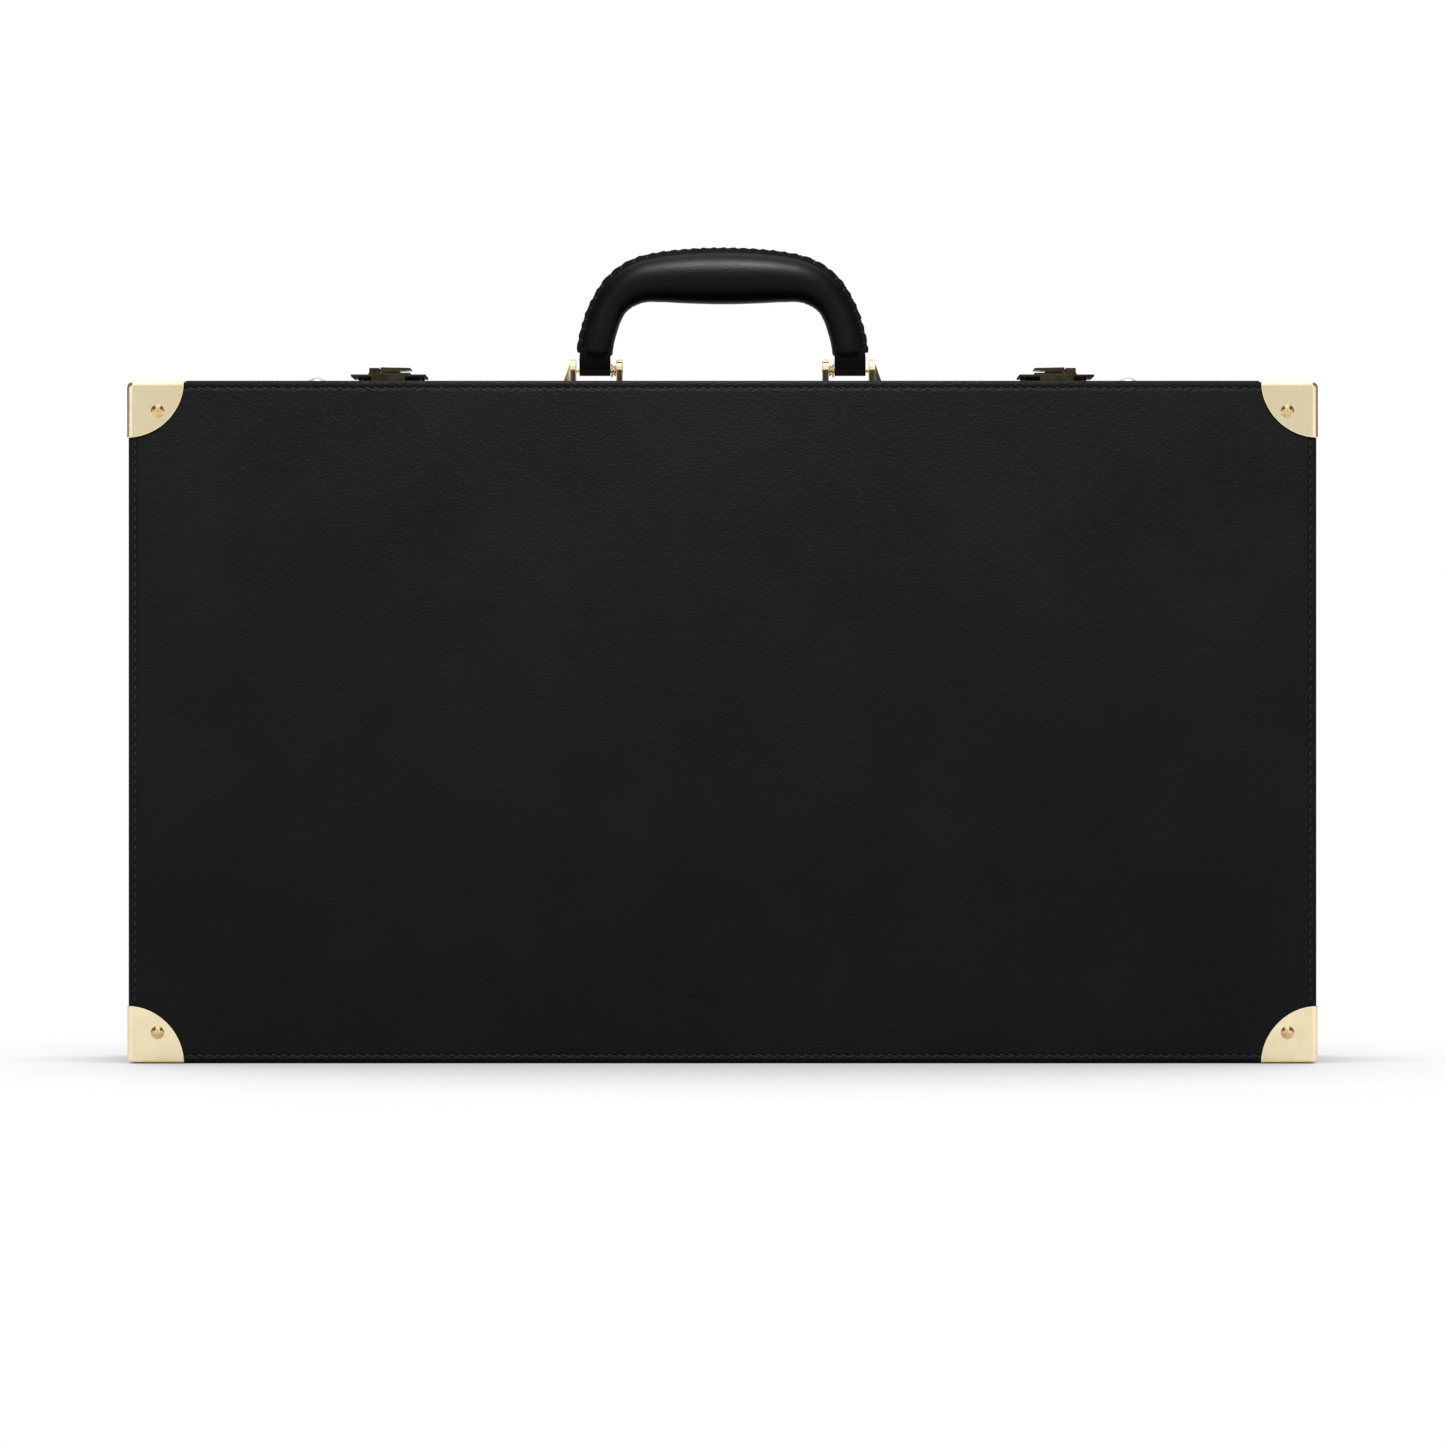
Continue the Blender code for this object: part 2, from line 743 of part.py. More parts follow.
def hasp(side, word, holder):
    """The flap: a plate with a barrel on its pin, a hooked lip in front and the slider's stop."""
    at = latch_places(side)
    _, pin_y, pin_z = hasp_axis_place(side)
    half = latch_plate_width / 2
    front = y_part - hasp_reach
    under = z_plate + hasp_rise
    top = under + hasp_sheet
    wide_back = pin_y - hasp_barrel_radius - 2 * fit_gap
    neck = hasp_barrel_half - fit_gap

    outline = [
        (at(-half), front),
        (at(half), front),
        (at(half), wide_back),
        (at(neck), wide_back),
        (at(neck), pin_y + hasp_barrel_radius / 2),
        (at(-neck), pin_y + hasp_barrel_radius / 2),
        (at(-neck), wide_back),
        (at(-half), wide_back),
    ]
    shape = bmesh.new()
    prism(shape, outline, 2, under, top)
    flap = keep("hasp_" + word, shape, "dark_nickel", holder)

    # the barrel, cut back around the pin
    shape = bmesh.new()
    barrel = [
        (pin_y - hasp_barrel_radius, under + hasp_sheet / 2),
        *arc((pin_y, pin_z), hasp_barrel_radius, 180, 360, 8),
        (pin_y + hasp_barrel_radius, under + hasp_sheet / 2),
    ]
    prism(shape, barrel, 0, at(-neck), at(neck))
    combine(flap, cutter("join_barrel_" + word, shape), "UNION")

    # the hooked lip that goes down in front of the keeper
    lip_half = keeper_width / 2
    lip_low = z_plate + latch_sheet + fit_gap
    inner = front + latch_sheet
    outline = [
        (front, top - hasp_sheet / 2),
        (front, lip_low),
        (inner + lip_toe, lip_low),
        (inner + lip_toe, lip_low + latch_sheet),
        (inner, lip_low + latch_sheet),
        (inner, top - hasp_sheet / 2),
    ]
    shape = bmesh.new()
    prism(shape, outline, 0, at(-lip_half), at(lip_half))
    combine(flap, cutter("join_lip_" + word, shape), "UNION")

    # the raised field that the slider runs on, and the fixed block beside the slider
    shape = bmesh.new()
    platform = top + platform_rise
    near, far = hasp_platform
    block(shape, (at(near), at(far)), slider_span, (under + hasp_sheet / 2, platform))
    combine(flap, cutter("join_platform_" + word, shape), "UNION")
    near = slider_outer + slider_stop_gap
    sides = (slider_span[0] + fit_gap, slider_span[1] - fit_gap)
    shape = bmesh.new()
    heights = (platform - platform_rise / 2, platform + slider_rise)
    block(shape, (at(near), at(near + slider_stop)), sides, heights)
    combine(flap, cutter("join_stop_" + word, shape), "UNION")

    # the slot that the slider's foot moves in, and the pin's bore
    shape = bmesh.new()
    slot = (at(foot_outer + fit_gap), at(foot_inner - slider_travel - 3 * fit_gap))
    sides = (foot_span[0] - fit_gap, foot_span[1] + fit_gap)
    block(shape, slot, sides, (under - hasp_sheet, platform + fit_gap / 2))
    combine(flap, cutter("cut_slot_" + word, shape))
    shape = bmesh.new()
    span = sorted((at(-half), at(half)))
    rod(shape, 0, (pin_y, pin_z), *span, hasp_pin_radius + bore_gap, 12)
    combine(flap, cutter("cut_hasp_bore_" + word, shape))


def latch_slider(side, word, holder):
    """The thumb slider: a block with a thin thumb tab, on a foot whose toe holds the catch."""
    at = latch_places(side)
    low = z_plate + hasp_rise + hasp_sheet + platform_rise + fit_gap
    high = low + slider_rise
    inner = slider_outer - slider_body
    tab = inner - slider_tab
    toe_tip = foot_outer + toe_reach
    toe_roof = catch_roof - catch_sheet - fit_gap
    toe_floor = z_plate + latch_sheet + 2 * fit_gap

    shape = bmesh.new()
    outline = [
        (slider_outer, low),
        (slider_outer, high),
        (tab, high - fit_gap),
        (tab, high - 4 * fit_gap),
        (inner, high - 5 * fit_gap),
        (inner, low),
    ]
    prism(shape, [(at(u), z) for u, z in outline], 1, *slider_span)
    slider = keep("latch_slider_" + word, shape, "dark_nickel", holder)
    shape = bmesh.new()
    outline = [
        (foot_inner, low + fit_gap),
        (foot_inner, toe_floor),
        (toe_tip, toe_floor),
        (toe_tip, toe_roof),
        (foot_outer, toe_roof),
        (foot_outer, low + fit_gap),
    ]
    prism(shape, [(at(u), z) for u, z in outline], 1, *foot_span)
    combine(slider, cutter("join_foot_" + word, shape), "UNION")


def latch_spring(side, word, holder):
    """The coil that pushes the slider outwards, in the hasp's slot behind the foot."""
    at = latch_places(side)
    start = foot_inner - fit_gap - spring_wire
    length = slider_travel + fit_gap - 2 * spring_wire
    height = z_plate + hasp_rise + hasp_sheet / 2
    curve = bpy.data.curves.new("latch_spring_" + word, "CURVE")
    curve.dimensions = "3D"
    curve.bevel_depth = spring_wire
    curve.bevel_resolution = 0
    curve.use_fill_caps = True
    steps = spring_turns * 8
    line = curve.splines.new("POLY")
    line.points.add(steps)
    pivot = world_place(holder)
    for i, point in enumerate(line.points):
        angle = 2 * pi * i / 8
        y = y_part + catch_setback + spring_radius * cos(angle)
        z = height - fit_gap - hasp_sheet / 4 + spring_radius * sin(angle)
        place = Vector((at(start - length * i / steps), y, z)) - pivot
        point.co = (*place, 1)
    curve.materials.append(material("steel"))
    made = bpy.data.objects.new("latch_spring_" + word, curve)
    bpy.context.scene.collection.objects.link(made)
    made.parent = holder


def hasp_pin(side, word):
    """The pin through the lugs and the hasp's barrel."""
    at = latch_places(side)
    _, pin_y, pin_z = hasp_axis_place(side)
    reach = hasp_barrel_half + fit_gap + lug_thickness
    span = sorted((at(-reach), at(reach)))
    shape = bmesh.new()
    rod(shape, 0, (pin_y, pin_z), *span, hasp_pin_radius, 12)
    keep("hasp_pin_" + word, shape, "steel")
    shape = bmesh.new()
    bore = hasp_pin_radius + bore_gap
    rod(shape, 0, (pin_y, pin_z), span[0] - fit_gap, span[1] + fit_gap, bore, 12)
    return cutter("cut_lug_bore_" + word, shape)


def keeper(side, word, holder):
    """The plate on the lid with the overhung bar that the hasp's lip hooks under."""
    at = latch_places(side)
    rear = y_part - keeper_setback
    top = z_plate + latch_sheet
    half = keeper_plate[0] / 2
    bar_half = keeper_width / 2 - fit_gap
    shape = bmesh.new()
    block(shape, (at(-half), at(half)), (rear, rear - keeper_plate[1]), (z_plate, top))
    plate = keep("keeper_" + word, shape, "dark_nickel", holder)
    lip_inner = y_part - hasp_reach + latch_sheet
    post = lip_inner + lip_toe + 2 * fit_gap
    nose = lip_inner + 2 * fit_gap
    roof = z_plate + hasp_rise - fit_gap
    nose_low = z_plate + 2 * latch_sheet + 2 * fit_gap
    outline = [
        (post, z_plate + latch_sheet / 2),
        (post, nose_low),
        (nose, nose_low),
        (nose, roof),
        (post + latch_sheet, roof),
        (post + latch_sheet, z_plate + latch_sheet / 2),
    ]
    shape = bmesh.new()
    prism(shape, outline, 0, at(-bar_half), at(bar_half))
    combine(plate, cutter("join_bar_" + word, shape), "UNION")
    return plate


# ---- handle --------------------------------------------------------------------------------------


def handle_arch(angle, half, rise, power):
    """A point of a rounded arch that stands at leg_foot, in X and height above the caps' top."""
    across = abs(cos(angle)) ** (2 / power) * (1 if cos(angle) > 0 else -1)
    return Vector((half * across, leg_foot + (rise - leg_foot) * abs(sin(angle)) ** (2 / power)))


def handle(holder):
    """Padded grip and legs as a loft of ovals, with an eye at each foot for its axle."""
    steps, sides = 28, 14
    shape = bmesh.new()
    rings = []
    for i in range(steps + 1):
        angle = pi * i / steps
        outer = handle_arch(angle, handle_half_outer, handle_height, 2.5)
        inner = handle_arch(angle, handle_half_inner, handle_opening, 4.0)
        middle, reach = (outer + inner) / 2, (outer - inner) / 2
        depth = leg_half_depth + (grip_half_depth - leg_half_depth) * sin(angle) ** 2
        ring = []
        for k in range(sides):
            turn = 2 * pi * k / sides
            spot = middle + reach * cos(turn)
            place = (spot.x, y_handle + depth * sin(turn), case_height + spot.y)
            ring.append(shape.verts.new(place))
        rings.append(ring)
    loft_faces(shape, rings)
    grip = keep("handle_grip", shape, "black_leather", holder)

    eye = axle_radius + bore_gap + eye_wall
    shoulder = case_height + leg_foot + eye_wall
    half = leg_half_depth - eye_wall
    outline = [
        (y_handle - half, shoulder),
        *arc((y_handle, z_axle), eye, 180, 360, 8),
        (y_handle + half, shoulder),
        (y_handle + half, shoulder + eye),
        (y_handle - half, shoulder + eye),
    ]
    shape = bmesh.new()
    for end in (-1, 1):
        prism(shape, outline, 0, end * tab_inner, end * tab_outer)
    combine(grip, cutter("join_handle_eyes", shape), "UNION")
    shape = bmesh.new()
    for end in (-1, 1):
        reach = sorted((end * (post_inner - post_thickness), end * post_outer))
        rod(shape, 0, (y_handle, z_axle), *reach, axle_radius + bore_gap, 12)
    handle_bore = cutter("cut_handle_bores", shape)
    combine(grip, handle_bore)

    for end, word in ends:
        near = tab_inner - fit_gap
        far = post_inner + post_thickness / 2 + fit_gap
        shape = bmesh.new()
        rod(shape, 0, (y_handle, z_axle), *sorted((end * near, end * far)), washer_radius, 16)
        washer = keep("handle_washer_" + word, shape, "gold_brass", holder)
        combine(washer, handle_bore)


def handle_bracket(end, word):
    """A plate with two posts; the outer post has a sloping brace."""
    low, top = z_plate, z_plate + bracket_sheet
    sides = (y_handle - bracket_half_depth, y_handle + bracket_half_depth)
    shape = bmesh.new()
    block(shape, (end * bracket_inner, end * bracket_outer), sides, (low, top))
    bracket = keep("handle_bracket_" + word, shape, "gold_brass")
    foot = (low + top) / 2
    outline = [
        (y_handle - post_half, foot),
        (y_handle + post_half, foot),
        *arc((y_handle, z_axle), post_half, 0, 180, 8),
    ]
    half = post_thickness / 2
    for post, name in ((post_outer, "outer"), (post_inner, "inner")):
        shape = bmesh.new()
        prism(shape, outline, 0, end * (post - half), end * (post + half))
        combine(bracket, cutter(f"join_{name}_post_{word}", shape), "UNION")
    shape = bmesh.new()
    brace = [
        (end * post_outer, foot),
        (end * post_outer, z_axle + brace_rise),
        (end * (post_outer + half), z_axle + brace_rise),
        (end * (bracket_outer - half / 2), foot + half),
        (end * (bracket_outer - half / 2), foot),
    ]
    prism(shape, brace, 1, y_handle - brace_half_depth, y_handle + brace_half_depth)
    combine(bracket, cutter("join_brace_" + word, shape), "UNION")
    shape = bmesh.new()
    span = sorted((end * bracket_inner, end * bracket_outer))
    rod(shape, 0, (y_handle, z_axle), *span, axle_radius + bore_gap, 12)
    combine(bracket, cutter("cut_bracket_bore_" + word, shape))

    shape = bmesh.new()
    span = sorted((end * (post_inner - half - fit_gap), end * (post_outer + half + fit_gap)))
    rod(shape, 0, (y_handle, z_axle), *span, axle_radius, 12)
    keep("handle_axle_" + word, shape, "gold_brass")
    return bracket


# ---- the whole case ------------------------------------------------------------------------------


def build():
    """Makes every piece on its axis."""
    for old in list(bpy.data.objects):
        bpy.data.objects.remove(old)

    lid_axis = axis_empty("lid_axis", (0, y_part, z_hinge))
    groove = hinge_groove()
    wooden, bands = {}, {}
    for half, side, holder in (("base", base, None), ("lid", lid, lid_axis)):
        wooden[half] = carcass(half, side, holder)
        sheet, bands[half] = covers(half, side, holder)
        for end, word in ends:
            for level in ("bottom", "top"):
                hole = corner_cap(half, side, end, word, level, holder)
                for piece in (sheet, wooden[half]["panel"]):
                    combine(piece, hole)
        for piece in (bands[half], wooden[half]["_bottom_board"]):
            combine(piece, groove)
        combine(wooden[half]["_bottom_board"], leaf_seat(side))
        hinge_leaf(half, side, holder)

    shape = bmesh.new()
    rod(shape, 0, (y_part, z_hinge), -hinge_half, hinge_half, hinge_pin_radius, 12)
    keep("hinge_pin", shape, "steel")

    lid_pivot, base_pivot, _ = stay_places()
    handle_axis = axis_empty("handle_axis", (0, y_handle, z_axle))
    for end, word in ends:
        lower = axis_empty("stay_lower_axis_" + word, (end * x_inside, *base_pivot))
        upper = axis_empty("stay_upper_axis_" + word, (end * x_inside, *lid_pivot), lid_axis)
        stay(end, word, lower, upper)
        stay_post("stay_post_base_" + word, end, base_pivot, lower_layer, None)
        stay_post("stay_post_lid_" + word, end, lid_pivot, upper_layer, lid_axis)
        chip_tray(end, word)

        plate = latch_plate(end, word)
        combine(plate, hasp_pin(end, word))
        hasp_axis = axis_empty("hasp_axis_" + word, hasp_axis_place(end))
        hasp(end, word, hasp_axis)
        slider_axis = axis_empty("slider_axis_" + word, hasp_axis_place(end), hasp_axis)
        latch_slider(end, word, slider_axis)
        latch_spring(end, word, hasp_axis)
        keeper(end, word, lid_axis)

        handle_bracket(end, word)
        place = (end * dome_spread, y_handle, z_plate)
        shape, hole = stud(place, (0, 0, 1), (dome_radius, dome_rise), shank_in_wood, 20)
        keep("dome_stud_" + word, shape, "nickel")
        hole = cutter("hole_dome_stud_" + word, hole)
        for piece in (wooden["base"]["_top_board"], bands["base"]):
            combine(piece, hole)
    centre_tray()
    lid_pad(lid_axis)
    handle(handle_axis)


build()
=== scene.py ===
from math import cos, pi, radians, sin, sqrt

import bmesh
import bpy
from mathutils import Matrix, Vector


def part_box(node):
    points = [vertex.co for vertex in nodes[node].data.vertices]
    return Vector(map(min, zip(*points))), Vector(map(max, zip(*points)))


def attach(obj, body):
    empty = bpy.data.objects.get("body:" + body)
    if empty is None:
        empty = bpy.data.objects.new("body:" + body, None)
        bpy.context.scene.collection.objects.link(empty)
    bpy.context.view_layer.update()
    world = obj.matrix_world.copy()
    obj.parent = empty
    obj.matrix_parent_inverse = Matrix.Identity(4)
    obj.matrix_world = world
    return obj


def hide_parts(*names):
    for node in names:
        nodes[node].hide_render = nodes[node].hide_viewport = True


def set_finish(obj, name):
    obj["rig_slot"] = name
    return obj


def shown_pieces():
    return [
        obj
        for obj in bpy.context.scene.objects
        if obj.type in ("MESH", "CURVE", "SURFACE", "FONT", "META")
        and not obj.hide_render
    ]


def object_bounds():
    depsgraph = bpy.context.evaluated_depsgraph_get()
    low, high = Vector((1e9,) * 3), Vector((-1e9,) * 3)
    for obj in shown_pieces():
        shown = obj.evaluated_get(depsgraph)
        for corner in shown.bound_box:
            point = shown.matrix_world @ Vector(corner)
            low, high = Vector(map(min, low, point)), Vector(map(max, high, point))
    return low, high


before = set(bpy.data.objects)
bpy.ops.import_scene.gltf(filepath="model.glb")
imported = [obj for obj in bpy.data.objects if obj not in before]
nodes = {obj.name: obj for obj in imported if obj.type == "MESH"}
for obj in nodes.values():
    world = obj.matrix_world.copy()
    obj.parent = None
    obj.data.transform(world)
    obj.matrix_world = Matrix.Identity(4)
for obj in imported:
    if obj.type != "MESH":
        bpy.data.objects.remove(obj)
cadLow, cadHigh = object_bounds()
words = ("left", "right")
sideOf = {"left": -1, "right": 1}  # which way along X
wayOf = {"lid": -1, "base": 1}  # which way along Y
lying = (0, pi / 2, 0)  # the turn that lays a rod along X
hair = 0.00001  # two places nearer than this count as level
weld = 0.000002  # corners nearer than this are one
facing = 0.9  # a normal with this much of an axis looks along it
softFrom = 45  # pieces smoothed over this angle are leather, cloth or thread


# modelling

def clearSelection():
    if bpy.context.object and bpy.context.object.mode != "OBJECT":
        bpy.ops.object.mode_set(mode="OBJECT")
    bpy.ops.object.select_all(action="DESELECT")


def alone(piece):
    # only this piece selected and active, in object mode
    clearSelection()
    piece.select_set(True)
    bpy.context.view_layer.objects.active = piece


def fixed(piece):
    # puts the piece's place, turn and size into its mesh
    alone(piece)
    bpy.ops.object.transform_apply(location=True, rotation=True, scale=True)
    return piece


def settle(name):
    piece = bpy.context.object
    piece.name = name
    piece.data.name = name
    return fixed(piece)


def addBox(name, low, high):
    clearSelection()
    low, high = Vector(low), Vector(high)
    bpy.ops.mesh.primitive_cube_add(size=1, location=(low + high) / 2)
    bpy.context.object.scale = high - low
    return settle(name)


def addRod(name, centre, radius, depth, sides, turn=(0, 0, 0)):
    clearSelection()
    bpy.ops.mesh.primitive_cylinder_add(
        vertices=sides, radius=radius, depth=depth, location=centre, rotation=turn,
    )
    return settle(name)


def edit(piece):
    # opens the piece in edit mode with nothing selected
    alone(piece)
    bpy.ops.object.mode_set(mode="EDIT")
    bpy.ops.mesh.select_mode(type="FACE")
    bpy.ops.mesh.select_all(action="DESELECT")


def pick(piece, kind, test):
    # selects the faces or edges of the open mesh that pass a test
    bpy.ops.mesh.select_mode(type=kind)
    bpy.ops.mesh.select_all(action="DESELECT")
    shape = bmesh.from_edit_mesh(piece.data)
    for item in shape.faces if kind == "FACE" else shape.edges:
        if test(item):
            item.select_set(True)
    shape.select_flush_mode()
    bmesh.update_edit_mesh(piece.data)


def extrudeBy(move):
    bpy.ops.mesh.extrude_region_move(TRANSFORM_OT_translate={"value": move})


def closeEdit():
    bpy.ops.object.mode_set(mode="OBJECT")


def middleOf(edge):
    return (edge.verts[0].co + edge.verts[1].co) / 2


def along(edge, axis):
    run = edge.verts[1].co - edge.verts[0].co
    return abs(run[axis]) > facing * run.length


def modify(piece, kind, **settings):
    alone(piece)
    step = piece.modifiers.new(kind.title(), kind)
    for key, value in settings.items():
        setattr(step, key, value)
    bpy.ops.object.modifier_apply(modifier=step.name)


def copied(piece, name, place=(0, 0, 0), turn=(0, 0, 0), flip=(1, 1, 1)):
    # a copy with its own mesh, flipped, turned and moved about the origin
    alone(piece)
    bpy.ops.object.duplicate(linked=False)
    made = bpy.context.object
    made.location = place
    made.rotation_euler = turn
    made.scale = flip
    made = settle(name)
    if flip[0] * flip[1] * flip[2] < 0:
        edit(made)
        bpy.ops.mesh.select_all(action="SELECT")
        bpy.ops.mesh.normals_make_consistent(inside=False)
        closeEdit()
    return made


def joined(name, pieces):
    clearSelection()
    for piece in pieces:
        piece.select_set(True)
    bpy.context.view_layer.objects.active = pieces[0]
    if len(pieces) > 1:
        bpy.ops.object.join()
    made = bpy.context.object
    made.name = name
    made.data.name = name
    return made


def placed(piece, body, material, slot, stands=(), smooth=30):
    # gives a finished piece its material and its body, and says which nodes it stands for
    alone(piece)
    bpy.ops.object.shade_smooth_by_angle(angle=radians(smooth))
    if smooth < softFrom:
        # hard pieces: flat faces stay flat beside their rounded edges
        modify(piece, "WEIGHTED_NORMAL", weight=100, keep_sharp=True)
    if material:
        piece.data.materials.clear()
        piece.data.materials.append(material)
    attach(piece, body)
    if stands:
        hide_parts(*stands)
    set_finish(piece, slot)
    return piece


def brokenEdges(piece, width, segments=2, sharp=40, **settings):
    modify(
        piece, "BEVEL", width=width, segments=segments, limit_method="ANGLE",
        angle_limit=radians(sharp), **settings,
    )


def cutBy(piece, cutter, operation="DIFFERENCE"):
    modify(piece, "BOOLEAN", operation=operation, solver="EXACT", object=cutter)
    bpy.data.objects.remove(cutter)


def repeated(piece, count, step):
    modify(
        piece, "ARRAY", count=count, use_relative_offset=False, use_constant_offset=True,
        constant_offset_displace=(step, 0, 0),
    )


def softened(node, width, segments=2):
    # a merged copy of a machined node whose edges are broken, so that they catch the light
    piece = bpy.data.objects.new(node + "_finished", nodes[node].data.copy())
    bpy.context.scene.collection.objects.link(piece)
    edit(piece)
    bpy.ops.mesh.select_all(action="SELECT")
    bpy.ops.mesh.customdata_custom_splitnormals_clear()
    bpy.ops.mesh.remove_doubles(threshold=weld)
    bpy.ops.mesh.dissolve_limited(angle_limit=radians(1))
    bpy.ops.mesh.normals_make_consistent(inside=False)
    closeEdit()
    brokenEdges(piece, width, segments, 35, miter_outer="MITER_ARC")
    return piece


# materials

def fromHex(code):
    # an sRGB hex colour as linear numbers
    parts = [int(code[i:i + 2], 16) / 255 for i in (0, 2, 4)]
    linear = [c / 12.92 if c <= 0.04045 else ((c + 0.055) / 1.055) ** 2.4 for c in parts]
    return (*linear, 1.0)


def addNode(tree, kind, inputs=None, **settings):
    made = tree.nodes.new("ShaderNode" + kind)
    for key, value in settings.items():
        setattr(made, key, value)
    for key, value in (inputs or {}).items():
        if isinstance(value, bpy.types.NodeSocket):
            tree.links.new(value, made.inputs[key])
        else:
            made.inputs[key].default_value = value
    return made


def startMaterial(name, metallic, roughness, specular):
    # a material whose shader holds the constants; the patterns are linked afterwards
    made = bpy.data.materials.new(name)
    made.use_nodes = True
    tree = made.node_tree
    shader = tree.nodes["Principled BSDF"]
    shader.inputs["Metallic"].default_value = metallic
    shader.inputs["Roughness"].default_value = roughness
    shader.inputs["Specular IOR Level"].default_value = specular
    place = addNode(tree, "TexCoord").outputs["Object"]
    return made, tree, shader, place


def finishMaterial(made, shader, colour, rough, height, depth, **bumpSettings):
    tree = made.node_tree
    bump = addNode(tree, "Bump", {"Height": height, "Distance": depth, **bumpSettings})
    tree.links.new(colour, shader.inputs["Base Color"])
    tree.links.new(rough, shader.inputs["Roughness"])
    tree.links.new(bump.outputs["Normal"], shader.inputs["Normal"])
    return made


# leather, thread and cloth

# calfskin pressed with a fine grain, dyed black and sealed: dark, with a low broad sheen.
# The handle's sleeve is smoother and polished by the hand.
leatherLooks = {
    "blackGrainLeather": {
        "dye": "080808", "worn": "121212", "roughness": (0.40, 0.52), "specular": 0.05,
        "grain": 0.0013, "depth": 0.00020,  # real pebbles are 0.7 mm, drawn coarser to show
    },
    "blackHandleLeather": {
        "dye": "030303", "worn": "070606", "roughness": (0.34, 0.44), "specular": 0.08,
        "grain": 0.0009, "depth": 0.00005,
    },
    # the welt's cut edge, painted and waxed, is greyer than the hide; part of that grey is a painted
    # highlight standing in for light from above
    "waxedEdgeWithPaintedLight": {
        "dye": "262525", "worn": "434241", "roughness": (0.46, 0.56), "specular": 0.20,
        "grain": 0.0006, "depth": 0.00005,
    },
}
poreSize = 0.0005
hideDrift = 0.06  # how far apart the lighter and darker places of the hide lie


def leather(name):
    look = leatherLooks[name]
    made, tree, shader, place = startMaterial(name, 0.0, 0.5, look["specular"])
    drift = addNode(tree, "TexNoise", {
        "Vector": place, "Scale": 1 / hideDrift, "Detail": 4.0, "Roughness": 0.6,
    }).outputs["Fac"]
    # pulled hide: the pebbles are a little longer across the case than up it
    pulled = addNode(tree, "Mapping", {"Vector": place, "Scale": (0.7, 1.0, 1.2)}).outputs["Vector"]
    pebble = addNode(tree, "TexVoronoi", {
        "Vector": pulled, "Scale": 1 / look["grain"], "Smoothness": 0.6,
    }, feature="SMOOTH_F1").outputs["Distance"]
    pore = addNode(tree, "TexNoise", {
        "Vector": pulled, "Scale": 1 / poreSize, "Detail": 3.0,
    }).outputs["Fac"]
    relief = addNode(tree, "Math", {0: pebble, 1: pore}, operation="ADD").outputs[0]
    edge = addNode(tree, "NewGeometry").outputs["Pointiness"]
    rubbed = addNode(tree, "MapRange", {
        "Value": edge, "From Min": 0.52, "From Max": 0.62, "To Max": 0.5,
    }).outputs["Result"]
    faded = addNode(tree, "MapRange", {
        "Value": drift, "From Min": 0.40, "From Max": 0.75, "To Max": 0.25,
    }).outputs["Result"]
    share = addNode(tree, "Math", {0: rubbed, 1: faded}, operation="MAXIMUM").outputs[0]
    speck = addNode(tree, "Math", {0: pore, 1: 0.35}, operation="MULTIPLY").outputs[0]
    mixed = addNode(tree, "Math", {0: share, 1: speck}, operation="ADD", use_clamp=True).outputs[0]
    colour = addNode(tree, "Mix", {
        0: mixed, 6: fromHex(look["dye"]), 7: fromHex(look["worn"]),
    }, data_type="RGBA").outputs[2]
    gloss = addNode(tree, "MapRange", {
        "Value": drift, "From Min": 0.3, "From Max": 0.7,
        "To Min": look["roughness"][0], "To Max": look["roughness"][1],
    }).outputs["Result"]
    return finishMaterial(made, shader, colour, gloss, relief, look["depth"], Strength=0.8)


def waxedThread():
    # twisted polyester thread, waxed: black, its strands catch a little light
    made, tree, shader, place = startMaterial("waxedBlackThread", 0.0, 0.45, 0.12)
    twist = addNode(tree, "TexWave", {
        "Vector": place, "Scale": 900.0, "Distortion": 1.5, "Detail": 1.0,
    }, bands_direction="DIAGONAL").outputs["Fac"]
    colour = addNode(tree, "Mix", {
        0: twist, 6: fromHex("0b0b0b"), 7: fromHex("222222"),
    }, data_type="RGBA").outputs[2]
    rough = addNode(tree, "MapRange", {"Value": twist, "To Min": 0.55, "To Max": 0.40}).outputs["Result"]
    return finishMaterial(made, shader, colour, rough, twist, 0.00008)


def nap(name, deep, light, fibre, sheen):
    # cloth with a short nap: brushing leaves lighter patches, the fibre tips shine softly
    made, tree, shader, place = startMaterial(name, 0.0, 0.95, 0.2)
    shader.inputs["Sheen Weight"].default_value = sheen
    shader.inputs["Sheen Roughness"].default_value = 0.5
    shader.inputs["Sheen Tint"].default_value = fromHex(light)
    brushed = addNode(tree, "TexNoise", {
        "Vector": place, "Scale": 30.0, "Detail": 3.0, "Roughness": 0.55, "Distortion": 0.8,
    }).outputs["Fac"]
    tips = addNode(tree, "TexNoise", {"Vector": place, "Scale": 1 / fibre, "Detail": 2.0}).outputs["Fac"]
    both = addNode(tree, "Math", {0: brushed, 1: tips}, operation="MULTIPLY").outputs[0]
    share = addNode(tree, "MapRange", {
        "Value": both, "From Min": 0.12, "From Max": 0.42,
    }).outputs["Result"]
    colour = addNode(tree, "Mix", {
        0: share, 6: fromHex(deep), 7: fromHex(light),
    }, data_type="RGBA").outputs[2]
    rough = addNode(tree, "MapRange", {"Value": brushed, "To Min": 0.85, "To Max": 1.0}).outputs["Result"]
    return finishMaterial(made, shader, colour, rough, tips, 0.0002)
